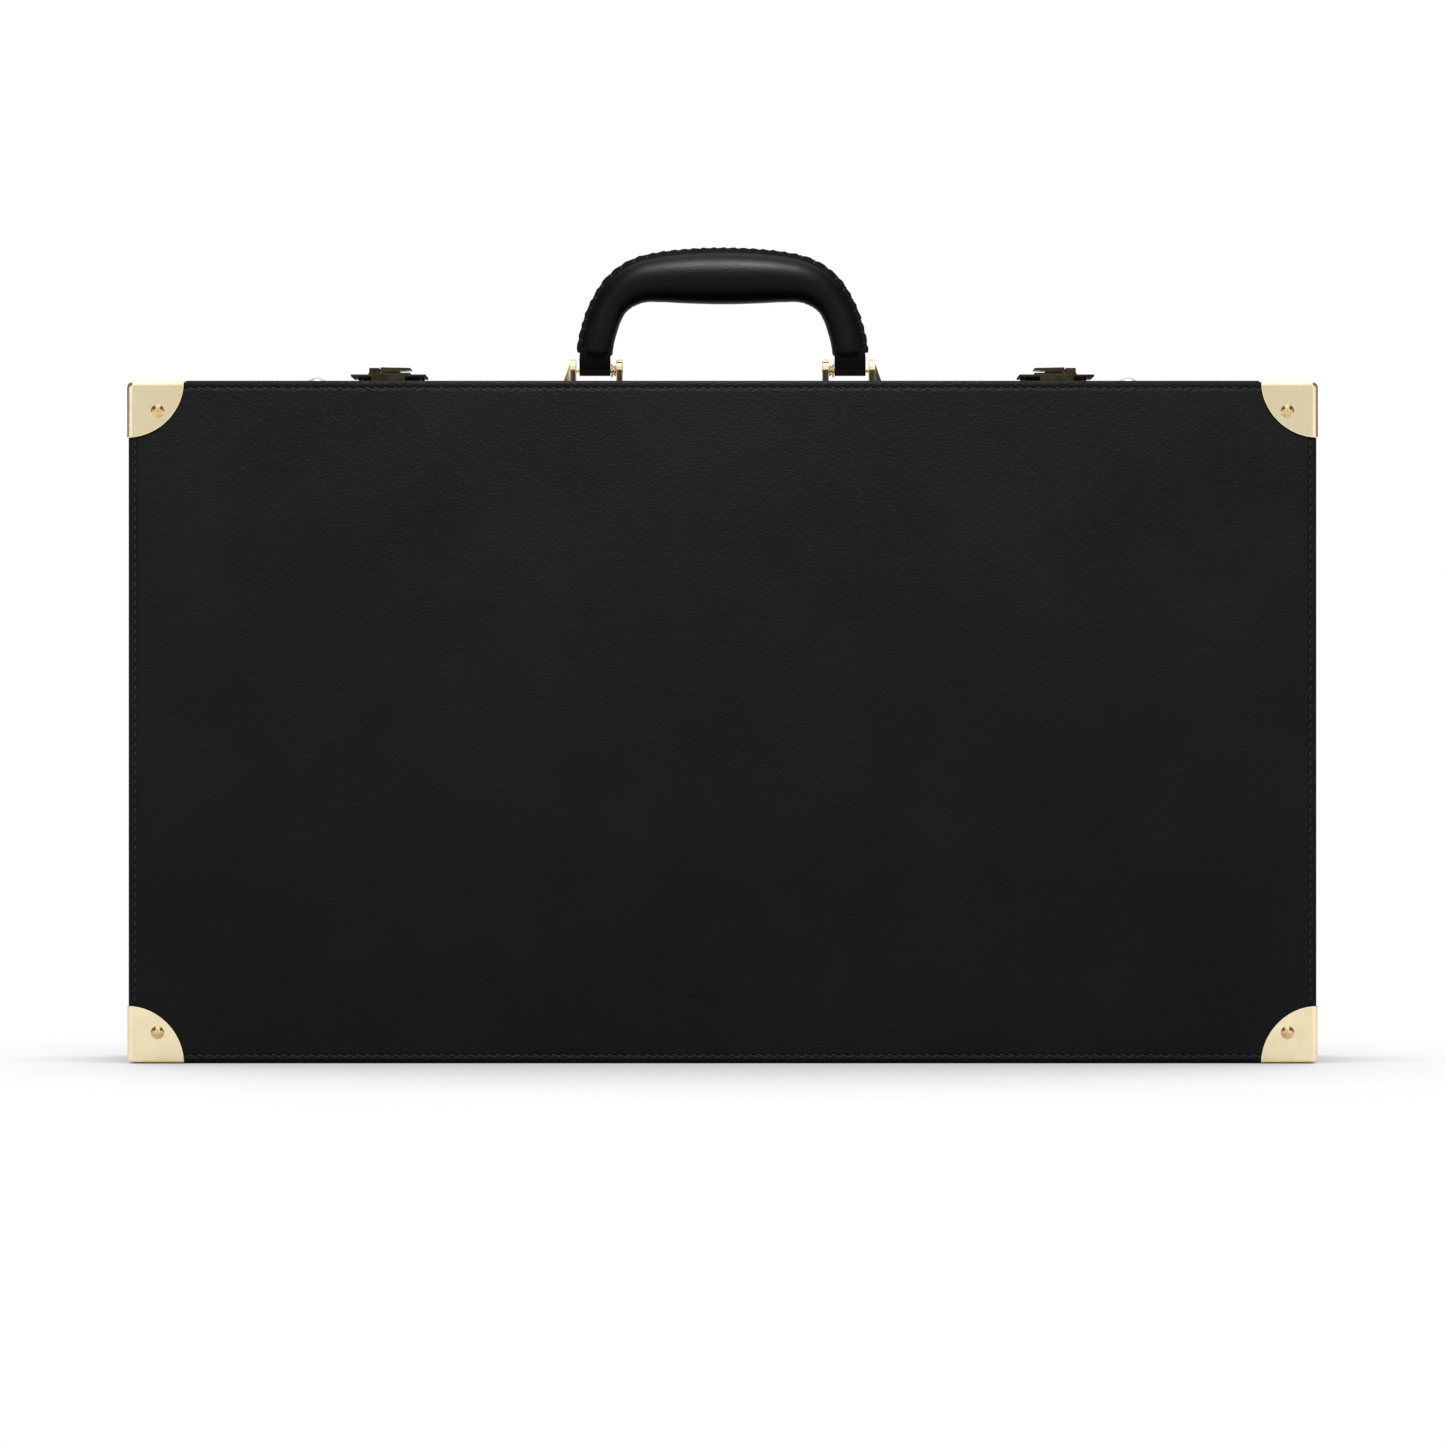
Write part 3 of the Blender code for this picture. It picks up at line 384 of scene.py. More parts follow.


# metals and wood

# smear is the width of the handling marks, scratch the spacing of the polishing lines, in metres; the
# crevice colour is painted shade for hollows and for where parts meet
metalLooks = {
    # stamped sheet brass, polished and lacquered: pale, soft reflections
    "palePolishedBrass": {
        "clean": "f5e6c0", "dull": "eadab2", "creviceShade": "8a7448",
        "roughness": (0.20, 0.30), "smear": 0.018, "scratch": 0.0006, "depth": 0.000004,
    },
    # brass rivets, not lacquered: a warmer and darker gold
    "warmRivetBrass": {
        "clean": "dcbf90", "dull": "c6a56f", "creviceShade": "6b4a20",
        "roughness": (0.14, 0.24), "smear": 0.004, "scratch": 0.0005, "depth": 0.000003,
    },
    # die-cast handle fittings with a bright gold flash
    "goldPlatedZinc": {
        "clean": "eadcb6", "dull": "d2bb88", "creviceShade": "5c4420",
        "roughness": (0.04, 0.09), "smear": 0.006, "scratch": 0.0007, "depth": 0.000004,
    },
    # pressed steel latches with an antique finish: nearly black with olive-brown lights
    "antiqueNickelSteel": {
        "clean": "4c4636", "dull": "2a2519", "creviceShade": "131008",
        "roughness": (0.20, 0.34), "smear": 0.007, "scratch": 0.0006, "depth": 0.000006,
    },
    # nickel-plated nail heads
    "brightNickel": {
        "clean": "c9c7c0", "dull": "a5a29a", "creviceShade": "55534e",
        "roughness": (0.12, 0.22), "smear": 0.005, "scratch": 0.0005, "depth": 0.000003,
    },
    # zinc-plated mild steel of the hinge and the stays: grey, with a rolled grain
    "zincPlatedSteel": {
        "clean": "b9bab8", "dull": "8f918f", "creviceShade": "4d4e4c",
        "roughness": (0.30, 0.45), "smear": 0.012, "scratch": 0.0008, "depth": 0.000010,
    },
}


def metal(name):
    look = metalLooks[name]
    made, tree, shader, place = startMaterial(name, 1.0, 0.25, 0.5)
    smear = addNode(tree, "TexNoise", {
        "Vector": place, "Scale": 1 / look["smear"], "Detail": 5.0, "Roughness": 0.65,
    }).outputs["Fac"]
    lines = addNode(tree, "Mapping", {
        "Vector": place, "Rotation": (0.4, 0.7, 0.3), "Scale": (1.0, 0.08, 1.0),
    }).outputs["Vector"]
    scratch = addNode(tree, "TexNoise", {
        "Vector": lines, "Scale": 1 / look["scratch"], "Detail": 2.0,
    }).outputs["Fac"]
    # painted shade: the colour darkens where ambient occlusion finds nearby surfaces, in hollows and
    # where two parts meet
    openness = addNode(tree, "AmbientOcclusion", {"Distance": 0.0012}, samples=8).outputs["AO"]
    paintedCreviceShade = addNode(tree, "MapRange", {
        "Value": openness, "From Min": 0.75, "From Max": 0.30, "To Max": 0.8,
    }).outputs["Result"]
    patch = addNode(tree, "MapRange", {
        "Value": smear, "From Min": 0.42, "From Max": 0.72,
    }).outputs["Result"]
    face = addNode(tree, "Mix", {
        0: patch, 6: fromHex(look["clean"]), 7: fromHex(look["dull"]),
    }, data_type="RGBA").outputs[2]
    colour = addNode(tree, "Mix", {
        0: paintedCreviceShade, 6: face, 7: fromHex(look["creviceShade"]),
    }, data_type="RGBA").outputs[2]
    both = addNode(tree, "Math", {0: scratch, 1: 0.35, 2: smear}, operation="MULTIPLY_ADD").outputs[0]
    rough = addNode(tree, "MapRange", {
        "Value": both, "From Min": 0.45, "From Max": 0.95,
        "To Min": look["roughness"][0], "To Max": look["roughness"][1],
    }).outputs["Result"]
    return finishMaterial(made, shader, colour, rough, scratch, look["depth"])


def birchPlywood():
    # birch plywood, sanded and left raw: 1.3 mm plies show as stripes across each board's edge
    made, tree, shader, place = startMaterial("sandedBirchPlywood", 0.0, 0.6, 0.3)
    stretched = addNode(tree, "Mapping", {"Vector": place, "Scale": (4.0, 60.0, 4.0)}).outputs["Vector"]
    grain = addNode(tree, "TexNoise", {
        "Vector": stretched, "Scale": 9.0, "Detail": 6.0, "Roughness": 0.65, "Distortion": 0.6,
    }).outputs["Fac"]
    plies = addNode(tree, "TexWave", {
        "Vector": place, "Scale": 120.0, "Distortion": 0.6, "Detail": 1.0,
    }, bands_direction="DIAGONAL").outputs["Fac"]
    wood = addNode(tree, "Mix", {
        0: grain, 6: fromHex("b98f5c"), 7: fromHex("e2c494"),
    }, data_type="RGBA").outputs[2]
    shade = addNode(tree, "MapRange", {
        "Value": plies, "From Min": 0.6, "From Max": 0.9, "To Max": 0.35,
    }).outputs["Result"]
    colour = addNode(tree, "Mix", {0: shade, 6: wood, 7: fromHex("7d5a34")}, data_type="RGBA").outputs[2]
    rough = addNode(tree, "MapRange", {"Value": grain, "To Min": 0.5, "To Max": 0.75}).outputs["Result"]
    return finishMaterial(made, shader, colour, rough, grain, 0.0001)


hide = leather("blackGrainLeather")
sleeveHide = leather("blackHandleLeather")
weltEdgeWithPaintedLight = leather("waxedEdgeWithPaintedLight")
thread = waxedThread()
flock = nap("blackFlock", "0b0b0c", "2a2a2d", 0.0006, 0.25)
suede = nap("blackSuedeCloth", "101011", "333336", 0.0009, 0.45)
paleBrass = metal("palePolishedBrass")
rivetBrass = metal("warmRivetBrass")
goldPlate = metal("goldPlatedZinc")
antiqueNickel = metal("antiqueNickelSteel")
nickel = metal("brightNickel")
zinc = metal("zincPlatedSteel")
plywood = birchPlywood()
print("materials made")


# small parts used in several places

sunk = 0.0002  # how deep a head reaches into its sheet


def stoodOn(piece, place, outwards):
    # a part made about the origin, its top along Z, put where it belongs
    piece.rotation_euler = Vector(outwards).to_track_quat("Z", "Y").to_euler()
    piece.location = place
    return fixed(piece)


def domedHead(name, place, radius, rise, outwards, sides=28):
    # a domed rivet head: the top of a ball, cut off a little below the sheet that it sits on
    ball = (radius * radius + rise * rise) / (2 * rise)
    clearSelection()
    bpy.ops.mesh.primitive_uv_sphere_add(
        segments=sides, ring_count=36, radius=ball, location=(0, 0, rise - ball),
    )
    piece = settle(name)
    edit(piece)
    bpy.ops.mesh.select_all(action="SELECT")
    bpy.ops.mesh.bisect(plane_co=(0, 0, 0), plane_no=(0, 0, 1), use_fill=True, clear_inner=True)
    pick(piece, "FACE", lambda face: face.normal.z < -facing)
    extrudeBy((0, 0, -sunk))
    closeEdit()
    return stoodOn(piece, place, outwards)


screwHead = {"height": 0.0006, "rim": 0.12, "rimRise": 0.00006, "slotHalf": 0.00022, "slotDepth": 0.0001}


def slottedScrew(name, place, radius, outwards):
    # a countersunk head, flush but for its rounded edge, with one slot
    piece = addRod(name, (0, 0, -sunk), radius, screwHead["height"], 24)
    edit(piece)
    pick(piece, "FACE", lambda face: face.normal.z > facing)
    bpy.ops.mesh.inset(thickness=radius * screwHead["rim"], depth=screwHead["rimRise"])
    closeEdit()
    over = radius * 1.2
    cutBy(piece, addBox(
        "slotCutter", (-over, -screwHead["slotHalf"], -screwHead["slotDepth"]),
        (over, screwHead["slotHalf"], 0.001),
    ))
    return stoodOn(piece, place, outwards)


def turnedPin(node, body, material, slot, edge=0.0002):
    # a round pin along X with broken ends, where the node lies
    low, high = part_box(node)
    radius, length = (high.z - low.z) / 2, high.x - low.x
    piece = addRod(node + "_finished", (low + high) / 2, radius, length, 28, lying)
    brokenEdges(piece, edge)
    placed(piece, body, material, slot, [node])


# leather cover

coverSheet = {
    "cornerRadius": 0.006,  # under the corner caps
    "cornerSteps": 8,
    "base": 0.00030,  # thickness of the sheet where the turned edge starts
    # steps inwards and outwards from the turned edge: rolled edge, sewn channel, flat field
    "rolledEdge": (
        (0.00010, 0.00025), (0.00028, 0.00025), (0.00060, 0.00030), (0.00070, 0.00007),
        (0.00069, -0.00006), (0.00030, -0.00026),
    ),
    "channel": (0.00055, -0.00003),
    "field": ((0.00030, 0.00024), (0.00090, 0.00012)),
    # the roll along the top stands level with the corner caps, and dips just before them
    "proud": 0.0007,
    "proudTo": 0.2520,
    "proudDepth": 0.0042,
    "dip": 0.0008,
}
seam = {
    "pitch": 0.0044,
    "length": 0.0031,
    "thread": 0.00034,
    "slant": 14,
    "from": 0.0240,  # how far from the corner a row starts, under the cap
    "straight": 0.6,  # the share of its length in which a stitch lies flat
    # how it dives at each end: share of half its length, drop, size of what follows
    "dives": ((0.28, 0.00012, 0.8), (0.12, 0.00028, 0.5)),
    "lift": 0.6,  # how much of its radius a thread lies above the leather
}


def threadStitch():
    # one stitch along X: a thick thread whose ends dive into their holes
    half = seam["length"] / 2
    piece = addRod("stitch", (0, 0, 0), seam["thread"], seam["straight"] * seam["length"], 7, lying)
    edit(piece)
    for side in (-1, 1):
        pick(piece, "FACE", lambda face: face.normal.x * side > facing)
        for share, drop, size in seam["dives"]:
            extrudeBy((side * share * half, 0, -drop))
            bpy.ops.transform.resize(value=(1, size, size))
    closeEdit()
    return piece


def stitchRow(first, last, level, outward):
    # stitches from first to last in X and Z, lying on the plane at this Y
    run = Vector((last[0] - first[0], 0, last[1] - first[1]))
    count = round(run.length / seam["pitch"])
    piece = copied(oneStitch, "stitches", turn=(0, 0, radians(seam["slant"] * outward)))
    repeated(piece, count, run.length / count)
    # the row's X runs along the seam and its Z out of the leather
    across = run.normalized()
    out = Vector((0, outward, 0))
    turn = Matrix((across, out.cross(across), out)).transposed()
    piece.rotation_euler = turn.to_euler()
    piece.location = Vector((first[0], level, first[1])) + across * (run.length / count / 2)
    return fixed(piece)


def coverPanel(half, outward, node, name):
    low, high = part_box(node)
    back = low.y if outward > 0 else high.y
    front = back + outward * coverSheet["base"]
    piece = addBox(name, (low.x, min(back, front), low.z), (high.x, max(back, front), high.z))
    edit(piece)
    pick(piece, "EDGE", lambda edge: along(edge, 1))
    bpy.ops.mesh.bevel(offset=coverSheet["cornerRadius"], segments=coverSheet["cornerSteps"])
    pick(piece, "FACE", lambda face: face.normal.y * outward > facing)
    for inwards, rise in (*coverSheet["rolledEdge"], coverSheet["channel"], *coverSheet["field"]):
        bpy.ops.mesh.inset(thickness=inwards, depth=rise)
    proudTo = coverSheet["proudTo"]
    for way in (-1, 1):
        for cut in (proudTo, proudTo + coverSheet["dip"]):
            bpy.ops.mesh.select_all(action="SELECT")
            bpy.ops.mesh.bisect(plane_co=(way * cut, 0, 0), plane_no=(1, 0, 0))
    closeEdit()
    for vert in piece.data.vertices:
        share = 1 - (high.z - vert.co.z) / coverSheet["proudDepth"]
        if abs(vert.co.x) <= proudTo + hair and share > 0:
            vert.co.z += coverSheet["proud"] * share
    placed(piece, half, hide, "black_leather", [node], smooth=50)

    edge = sum(step[0] for step in coverSheet["rolledEdge"]) + coverSheet["channel"][0] / 2
    rise = coverSheet["base"] + coverSheet["channel"][1]
    rise += sum(step[1] for step in coverSheet["rolledEdge"])
    level = back + outward * (rise + seam["lift"] * seam["thread"])
    left, right, bottom, top = low.x + edge, high.x - edge, low.z + edge, high.z - edge
    skip = seam["from"]
    rows = [stitchRow(first, last, level, outward) for first, last in (
        ((left + skip, top), (right - skip, top)),
        ((right - skip, bottom), (left + skip, bottom)),
        ((left, bottom + skip), (left, top - skip)),
        ((right, top - skip), (right, bottom + skip)),
    )]
    placed(joined(name + "_stitches", rows), half, thread, "black_leather", smooth=60)


oneStitch = threadStitch()
coverPanel("lid", -1, "lid_front_leather", "lid_cover_panel")
coverPanel("base", 1, "base_back_leather", "base_cover_panel")
bpy.data.objects.remove(oneStitch)
for half, node in (("lid", "lid_band_leather"), ("base", "base_band_leather")):
    placed(softened(node, 0.0004, 3), half, hide, "black_leather", [node])
print("leather cover made")


# corner caps

cornerCap = {
    "reach": 0.030,
    "radius": 0.027,
    "uprightRound": 0.0036,  # the corner seen from the front
    "edgeRound": 0.0026,
    "sheet": 0.0005,
    "rolledRim": 0.00038,
    "rivetInset": 0.0145,
    "rivetRadius": 0.00315,
    "rivetRise": 0.0013,
}
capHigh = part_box("base_cap_top_right")[1]
caseTop = capHigh.z


def brassCap():
    # a stamped cap for the corner at +X, +Y, +Z
    corner = Vector((cadHigh.x, capHigh.y - cornerCap["rivetRise"], caseTop))
    reach = Vector((cornerCap["reach"],) * 3)
    piece = addBox("capShape", corner - reach, corner)
    edit(piece)
    pick(piece, "EDGE", lambda edge: (
        along(edge, 1) and (middleOf(edge) - corner).length < 0.6 * reach.x
    ))
    bpy.ops.mesh.bevel(offset=cornerCap["uprightRound"], segments=10)
    pick(piece, "EDGE", lambda edge: (
        abs(middleOf(edge).y - corner.y) < hair
        and middleOf(edge).x > corner.x - reach.x + hair
        and middleOf(edge).z > corner.z - reach.z + hair
    ))
    bpy.ops.mesh.bevel(offset=cornerCap["edgeRound"], segments=8)
    closeEdit()
    clearSelection()
    bpy.ops.mesh.primitive_uv_sphere_add(
        segments=128, ring_count=64, radius=cornerCap["radius"], location=corner,
    )
    cutBy(piece, settle("ball"), "INTERSECT")
    onBall = 0.00006  # the ball's flat faces lie this near to its round
    edit(piece)
    pick(piece, "FACE", lambda face: all(
        abs((vert.co - corner).length - cornerCap["radius"]) < onBall for vert in face.verts
    ))
    bpy.ops.mesh.delete(type="FACE")
    closeEdit()
    modify(piece, "SOLIDIFY", thickness=cornerCap["sheet"], offset=-1, use_even_offset=True)
    edit(piece)

    def atRim(edge):
        # the outer edge of the sheet's cut
        if len(edge.link_faces) != 2:
            return False
        radial = (middleOf(edge) - corner).normalized()
        rim = [face for face in edge.link_faces if abs(face.normal.dot(radial)) > 0.75]
        skin = [face for face in edge.link_faces if face not in rim]
        return len(rim) == 1 and skin[0].normal.dot(Vector((1, 1, 1))) > 0

    pick(piece, "EDGE", atRim)
    bpy.ops.mesh.bevel(offset=cornerCap["rolledRim"], segments=3)
    closeEdit()
    inset = cornerCap["rivetInset"]
    place = corner - Vector((inset, 0, inset))
    radius, rise = cornerCap["rivetRadius"], cornerCap["rivetRise"]
    return piece, domedHead("capRivet", place, radius, rise, (0, 1, 0), sides=36)


capShape, capRivet = brassCap()
for half, depthWay in wayOf.items():
    heads = []
    for word in words:
        for level, upright in (("top", 1), ("bottom", -1)):
            flip = (sideOf[word], depthWay, upright)
            place = (0, 0, 0 if upright > 0 else caseTop)
            node = f"{half}_cap_{level}_{word}"
            cap = copied(capShape, node + "_finished", place=place, flip=flip)
            placed(cap, half, paleBrass, "pale_brass", [node], smooth=40)
            heads.append(copied(capRivet, "head", place=place, flip=flip))
    placed(joined(half + "_cap_rivets", heads), half, rivetBrass, "pale_brass", smooth=40)
bpy.data.objects.remove(capShape)
bpy.data.objects.remove(capRivet)
print("corner caps made")


# padded handle

grip = {
    # the middle line from a leg's foot to the top, as X and height above the case's caps
    "line": (
        (-0.0602, 0.0140), (-0.0598, 0.0190), (-0.0577, 0.0278), (-0.0550, 0.0352),
        (-0.0504, 0.0424), (-0.0452, 0.0468), (-0.0384, 0.0499), (-0.0292, 0.0512),
        (-0.0190, 0.0516), (0.0, 0.05175),
    ),
    "rings": 264,
    "sides": 48,
    "legHalf": 0.0076,
    "padHalf": 0.01255,
    "legDepth": 0.0064,
    "padDepth": 0.0100,
    "swellFrom": 0.026,  # how far along the leg the padding starts
    "footRound": 0.0016,
    "footSize": 0.80,  # the foot's size beside the leg's
    "footInset": (0.0012, 0.0002),
    "wrinkle": 0.00014,
    "wrinklePitch": 0.0031,
    "bend": (0.020, 0.046),  # the stretch of the leg where the leather bunches up
    "pucker": 0.00010,  # how far the seam's thread draws the leather in
}
welt = {
    "height": 0.0023,
    "pitch": 0.0047,
    "scallop": 0.00065,
    "crown": 0.025,  # how much lower its edges lie than its middle, as a share of the sleeve
    "narrow": 0.86,
    "from": 0.0015,
    "thread": 0.00020,
    "loop": 0.00150,
    "loopRise": 0.00040,
    "loopOnLeg": 0.72,  # the loops are narrower on the legs than on the grip
    "loopLean": 0.25,
}


def archCurve():
    # the middle line as a flat curve in X and Y, which is stood up later
    clearSelection()
    bpy.ops.curve.primitive_bezier_curve_add(location=(0, 0, 0))
    curve = bpy.context.object
    curve.data.dimensions = "2D"
    curve.data.resolution_u = 32
    points = [*grip["line"], *[(-x, z) for x, z in grip["line"][-2::-1]]]
    spline = curve.data.splines[0]
    spline.bezier_points.add(len(points) - 2)
    for spot, (x, z) in zip(spline.bezier_points, points):
        spot.co = (x, z, 0)
        spot.handle_left_type = "AUTO"
        spot.handle_right_type = "AUTO"
    return curve, spline.calc_length()


def swell(s, length):
    # 0 on the legs, rising to 1 in the middle of the grip
    near = min(s, length - s)
    share = (near - grip["swellFrom"]) / (length / 2 - grip["swellFrom"])
    return sin(pi / 2 * min(max(share, 0), 1))


def bentUpright(piece, curve):
    # bends a straight bar along the arch, then stands it up on the case over the handle's axles
    modify(piece, "CURVE", object=curve, deform_axis="POS_X")
    low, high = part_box("handle_axle_left")
    piece.rotation_euler = (pi / 2, 0, 0)
    piece.location = (0, (low.y + high.y) / 2, caseTop)
    fixed(piece)


def legToPad(key, full):
    # a size of the sleeve between its values on the leg and in the middle of the pad
    return grip["leg" + key] + (grip["pad" + key] - grip["leg" + key]) * full


def gripSleeve(curve, length):
    # a rod of radius 1, its welt one more, which then gets its real section at each place
    piece = addRod("handle_grip_sleeve", (length / 2, 0, 0), 1.0, length, grip["sides"], lying)
    edit(piece)
    pick(piece, "EDGE", lambda edge: along(edge, 0))
    bpy.ops.mesh.subdivide(number_cuts=grip["rings"])
    # the welt stands on the faces beside the outermost line
    reach = 1.3 * 2 * pi / grip["sides"]
    pick(piece, "FACE", lambda face: (
        face.calc_center_median().y > cos(reach)
        and welt["from"] < face.calc_center_median().x < length - welt["from"]
        and abs(face.normal.x) < 0.5
    ))
    extrudeBy((0, 1.0, 0))
    closeEdit()
    # the welt takes the greyer edge leather, whose grey is partly a painted highlight from above
    for finish in (sleeveHide, weltEdgeWithPaintedLight):
        piece.data.materials.append(finish)
    onWelt = 1.5
    for face in piece.data.polygons:
        face.material_index = 1 if face.center.y > onWelt else 0
    low, high = grip["bend"]
    for vert in piece.data.vertices:
        spot = vert.co
        s = spot.x
        full = swell(s, length)
        near = min(s, length - s)
        rounded = 1 - min(max(near / grip["footRound"], 0), 1)
        foot = grip["footSize"] + (1 - grip["footSize"]) * sqrt(1 - rounded ** 2)
        half = legToPad("Half", full) * foot
        depth = legToPad("Depth", full) * foot
        raised = spot.y > onWelt
        side = spot.y - 1.0 if raised else spot.y
        inner = max(0.0, -side) ** 2 * (1 - abs(spot.z))
        inBend = max(0.0, 1 - abs(near - (low + high) / 2) / ((high - low) / 2))
        bunch = grip["wrinkle"] * inner * inBend * sin(2 * pi * near / grip["wrinklePitch"])
        puckered = grip["pucker"] * max(0.0, side) ** 6 * cos(2 * pi * s / welt["pitch"])
        y = side * (half + bunch + puckered)
        if raised:
            wave = 0.5 - 0.5 * cos(2 * pi * (s - welt["from"]) / welt["pitch"])
            y += welt["height"] - welt["scallop"] * (1 - wave ** 0.6)
            y -= welt["crown"] * abs(spot.z) * half
        spot.y = y
        spot.z *= depth * (welt["narrow"] if raised else 1.0)
    edit(piece)
    pick(piece, "FACE", lambda face: abs(face.normal.x) > facing and len(face.verts) > 8)
    inwards, rise = grip["footInset"]
    bpy.ops.mesh.inset(thickness=inwards, depth=rise)
    closeEdit()
    bentUpright(piece, curve)
    return piece


def weltThread(curve, length):
    # the thread goes over the welt's edge once at each notch
    clearSelection()
    bpy.ops.mesh.primitive_torus_add(
        major_segments=12, minor_segments=5, major_radius=welt["loop"],
        minor_radius=welt["thread"], rotation=lying,
    )
    piece = settle("handle_welt_thread")
    repeated(piece, int((length - 2 * welt["from"]) / welt["pitch"]), welt["pitch"])
    for vert in piece.data.vertices:
        spot = vert.co
        spot.x += welt["from"] + welt["pitch"]
        full = swell(spot.x, length)
        spot.y += legToPad("Half", full) + welt["loopRise"]
        spot.z *= welt["loopOnLeg"] + (1 - welt["loopOnLeg"]) * full
        spot.x += welt["loopLean"] * spot.z
    bentUpright(piece, curve)
    return piece


tab = {
    "inner": 0.0536,
    "outer": 0.0684,
    "bore": 0.0015,
    "edge": 0.0006,
    # how the loop spreads up over the leg: rise, size in X, Y and Z, and the height it keeps to
    "spread": ((0.0045, (1.0, 1.65, 0.3), 0.0055), (0.0050, (0.95, 1.12, 0.1), 0.0105)),
}


def handleTab(way):
    # the leather loop under a leg, which holds the axle
    low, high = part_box("handle_axle_right")
    centre = (low + high) / 2
    eye = centre.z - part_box("handle_grip")[0].z
    middle = Vector(((tab["inner"] + tab["outer"]) / 2, centre.y, centre.z))
    width = tab["outer"] - tab["inner"]
    piece = addRod("handleTab", middle, eye, width, 40, lying)
    edit(piece)
    pick(piece, "FACE", lambda face: face.normal.z > 0.1 and abs(face.normal.x) < 0.5)
    for rise, size, level in tab["spread"]:
        extrudeBy((0, 0, rise))
        bpy.ops.transform.resize(value=size, center_override=middle + Vector((0, 0, level)))
    closeEdit()
    cutBy(piece, addRod("bore", middle, tab["bore"], 2 * width, 28, lying))
    brokenEdges(piece, tab["edge"], 3, 50)
    if way > 0:
        return piece
    made = copied(piece, "handleTabLeft", flip=(-1, 1, 1))
    bpy.data.objects.remove(piece)
    return made


collar = {"narrow": 0.0027, "waist": 0.0021, "edge": 0.00028, "overlap": 1.02}


def collarWasher(word):
    # a turned collar: a wide flange beside the leg and a smaller one beside the post
    node = "handle_washer_" + word
    low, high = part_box(node)
    wide = (high.z - low.z) / 2
    third = (high.x - low.x) / 3
    rings = []
    for step, radius in ((1, wide), (0, collar["waist"]), (-1, collar["narrow"])):
        spot = (low + high) / 2 + Vector((sideOf[word] * step * third, 0, 0))
        ring = addRod("ring", spot, radius, third if step else third * collar["overlap"], 36, lying)
        if step:
            brokenEdges(ring, collar["edge"], 3)
        rings.append(ring)
    placed(joined(node + "_finished", rings), "handle", goldPlate, "gold_brass", [node], smooth=40)


arch, archLength = archCurve()
sleeve = gripSleeve(arch, archLength)
placed(sleeve, "handle", None, "black_leather", ["handle_grip"], smooth=60)
placed(weltThread(arch, archLength), "handle", thread, "black_leather", smooth=60)
bpy.data.objects.remove(arch)
for word in words:
    loop = handleTab(sideOf[word])
    loop.name = "handle_tab_" + word
    placed(loop, "handle", sleeveHide, "black_leather", smooth=40)
    collarWasher(word)
    turnedPin("handle_axle_" + word, "base", goldPlate, "gold_brass")
print("handle made")


# handle brackets

def rivetRow(name, places, rivet, body, material, slot):
    heads = [domedHead("rivet", place, rivet["radius"], rivet["rise"], (0, 0, 1)) for place in places]
    placed(joined(name, heads), body, material, slot, smooth=40)


bracket = {
    "edge": 0.00028,
    "radius": 0.0015,
    "rise": 0.0007,
    "sheet": 0.0012,
    "inset": (0.0030, 0.0024),
}

for word in words:
    node = "handle_bracket_" + word
    placed(softened(node, bracket["edge"]), "base", goldPlate, "gold_brass", [node])
    low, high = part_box(node)
    dx, dy = bracket["inset"]
    rivetRow(node + "_rivets", [
        (x, y, low.z + bracket["sheet"])
        for x in (low.x + dx, high.x - dx) for y in (low.y + dy, high.y - dy)
    ], bracket, "base", goldPlate, "gold_brass")
print("handle brackets made")


# latches

latch = {
    "radius": 0.0012,
    "rise": 0.0006,
    "sheet": 0.0008,
    # the plate's rivets, as X from its middle and the distance from its rear or its front edge
    "rear": (0.0105, 0.0016),
    "front": (0.0145, 0.0030),
    "keeperInset": (0.0020, 0.0045),
}

for word in words:
    plate, hasp, slider = "latch_plate_" + word, "hasp_" + word, "latch_slider_" + word
    keeper = "keeper_" + word
    for node, body, edge in (
        (plate, "base", 0.00020), (hasp, hasp, 0.00025), (slider, slider, 0.00025),
        (keeper, "lid", 0.00015),
    ):
        placed(softened(node, edge), body, antiqueNickel, "dark_nickel", [node])
    turnedPin("hasp_pin_" + word, "base", antiqueNickel, "dark_nickel", 0.00015)
    low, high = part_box(plate)
    middle = (low.x + high.x) / 2
    (rearX, rearIn), (frontX, frontIn) = latch["rear"], latch["front"]
    rivetRow(plate + "_rivets", [
        (middle + side * x, y, low.z + latch["sheet"])
        for x, y in ((rearX, high.y - rearIn), (frontX, low.y + frontIn)) for side in (-1, 1)
    ], latch, "base", antiqueNickel, "dark_nickel")
    low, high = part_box(keeper)
    dx, dy = latch["keeperInset"]
    rivetRow(keeper + "_rivets", [
        (x, low.y + dy, low.z + latch["sheet"]) for x in (low.x + dx, high.x - dx)
    ], latch, "lid", antiqueNickel, "dark_nickel")
print("latches made")


# dome studs

studFoot = 0.0005  # how far a dome's edge is sunk below the case's highest leather

for word in words:
    node = "dome_stud_" + word
    low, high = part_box(node)
    centre = Vector(((low.x + high.x) / 2, (low.y + high.y) / 2, caseTop - studFoot))
    radius = (high.x - low.x) / 2
    head = domedHead(node + "_finished", centre, radius, high.z - centre.z, (0, 0, 1), sides=48)
    placed(head, "base", nickel, "nickel", [node], smooth=40)
print("dome studs made")


# piano hinge and stays

hingeScrew = {"radius": 0.0021, "pitch": 0.0493, "height": 0.0112, "count": 11}

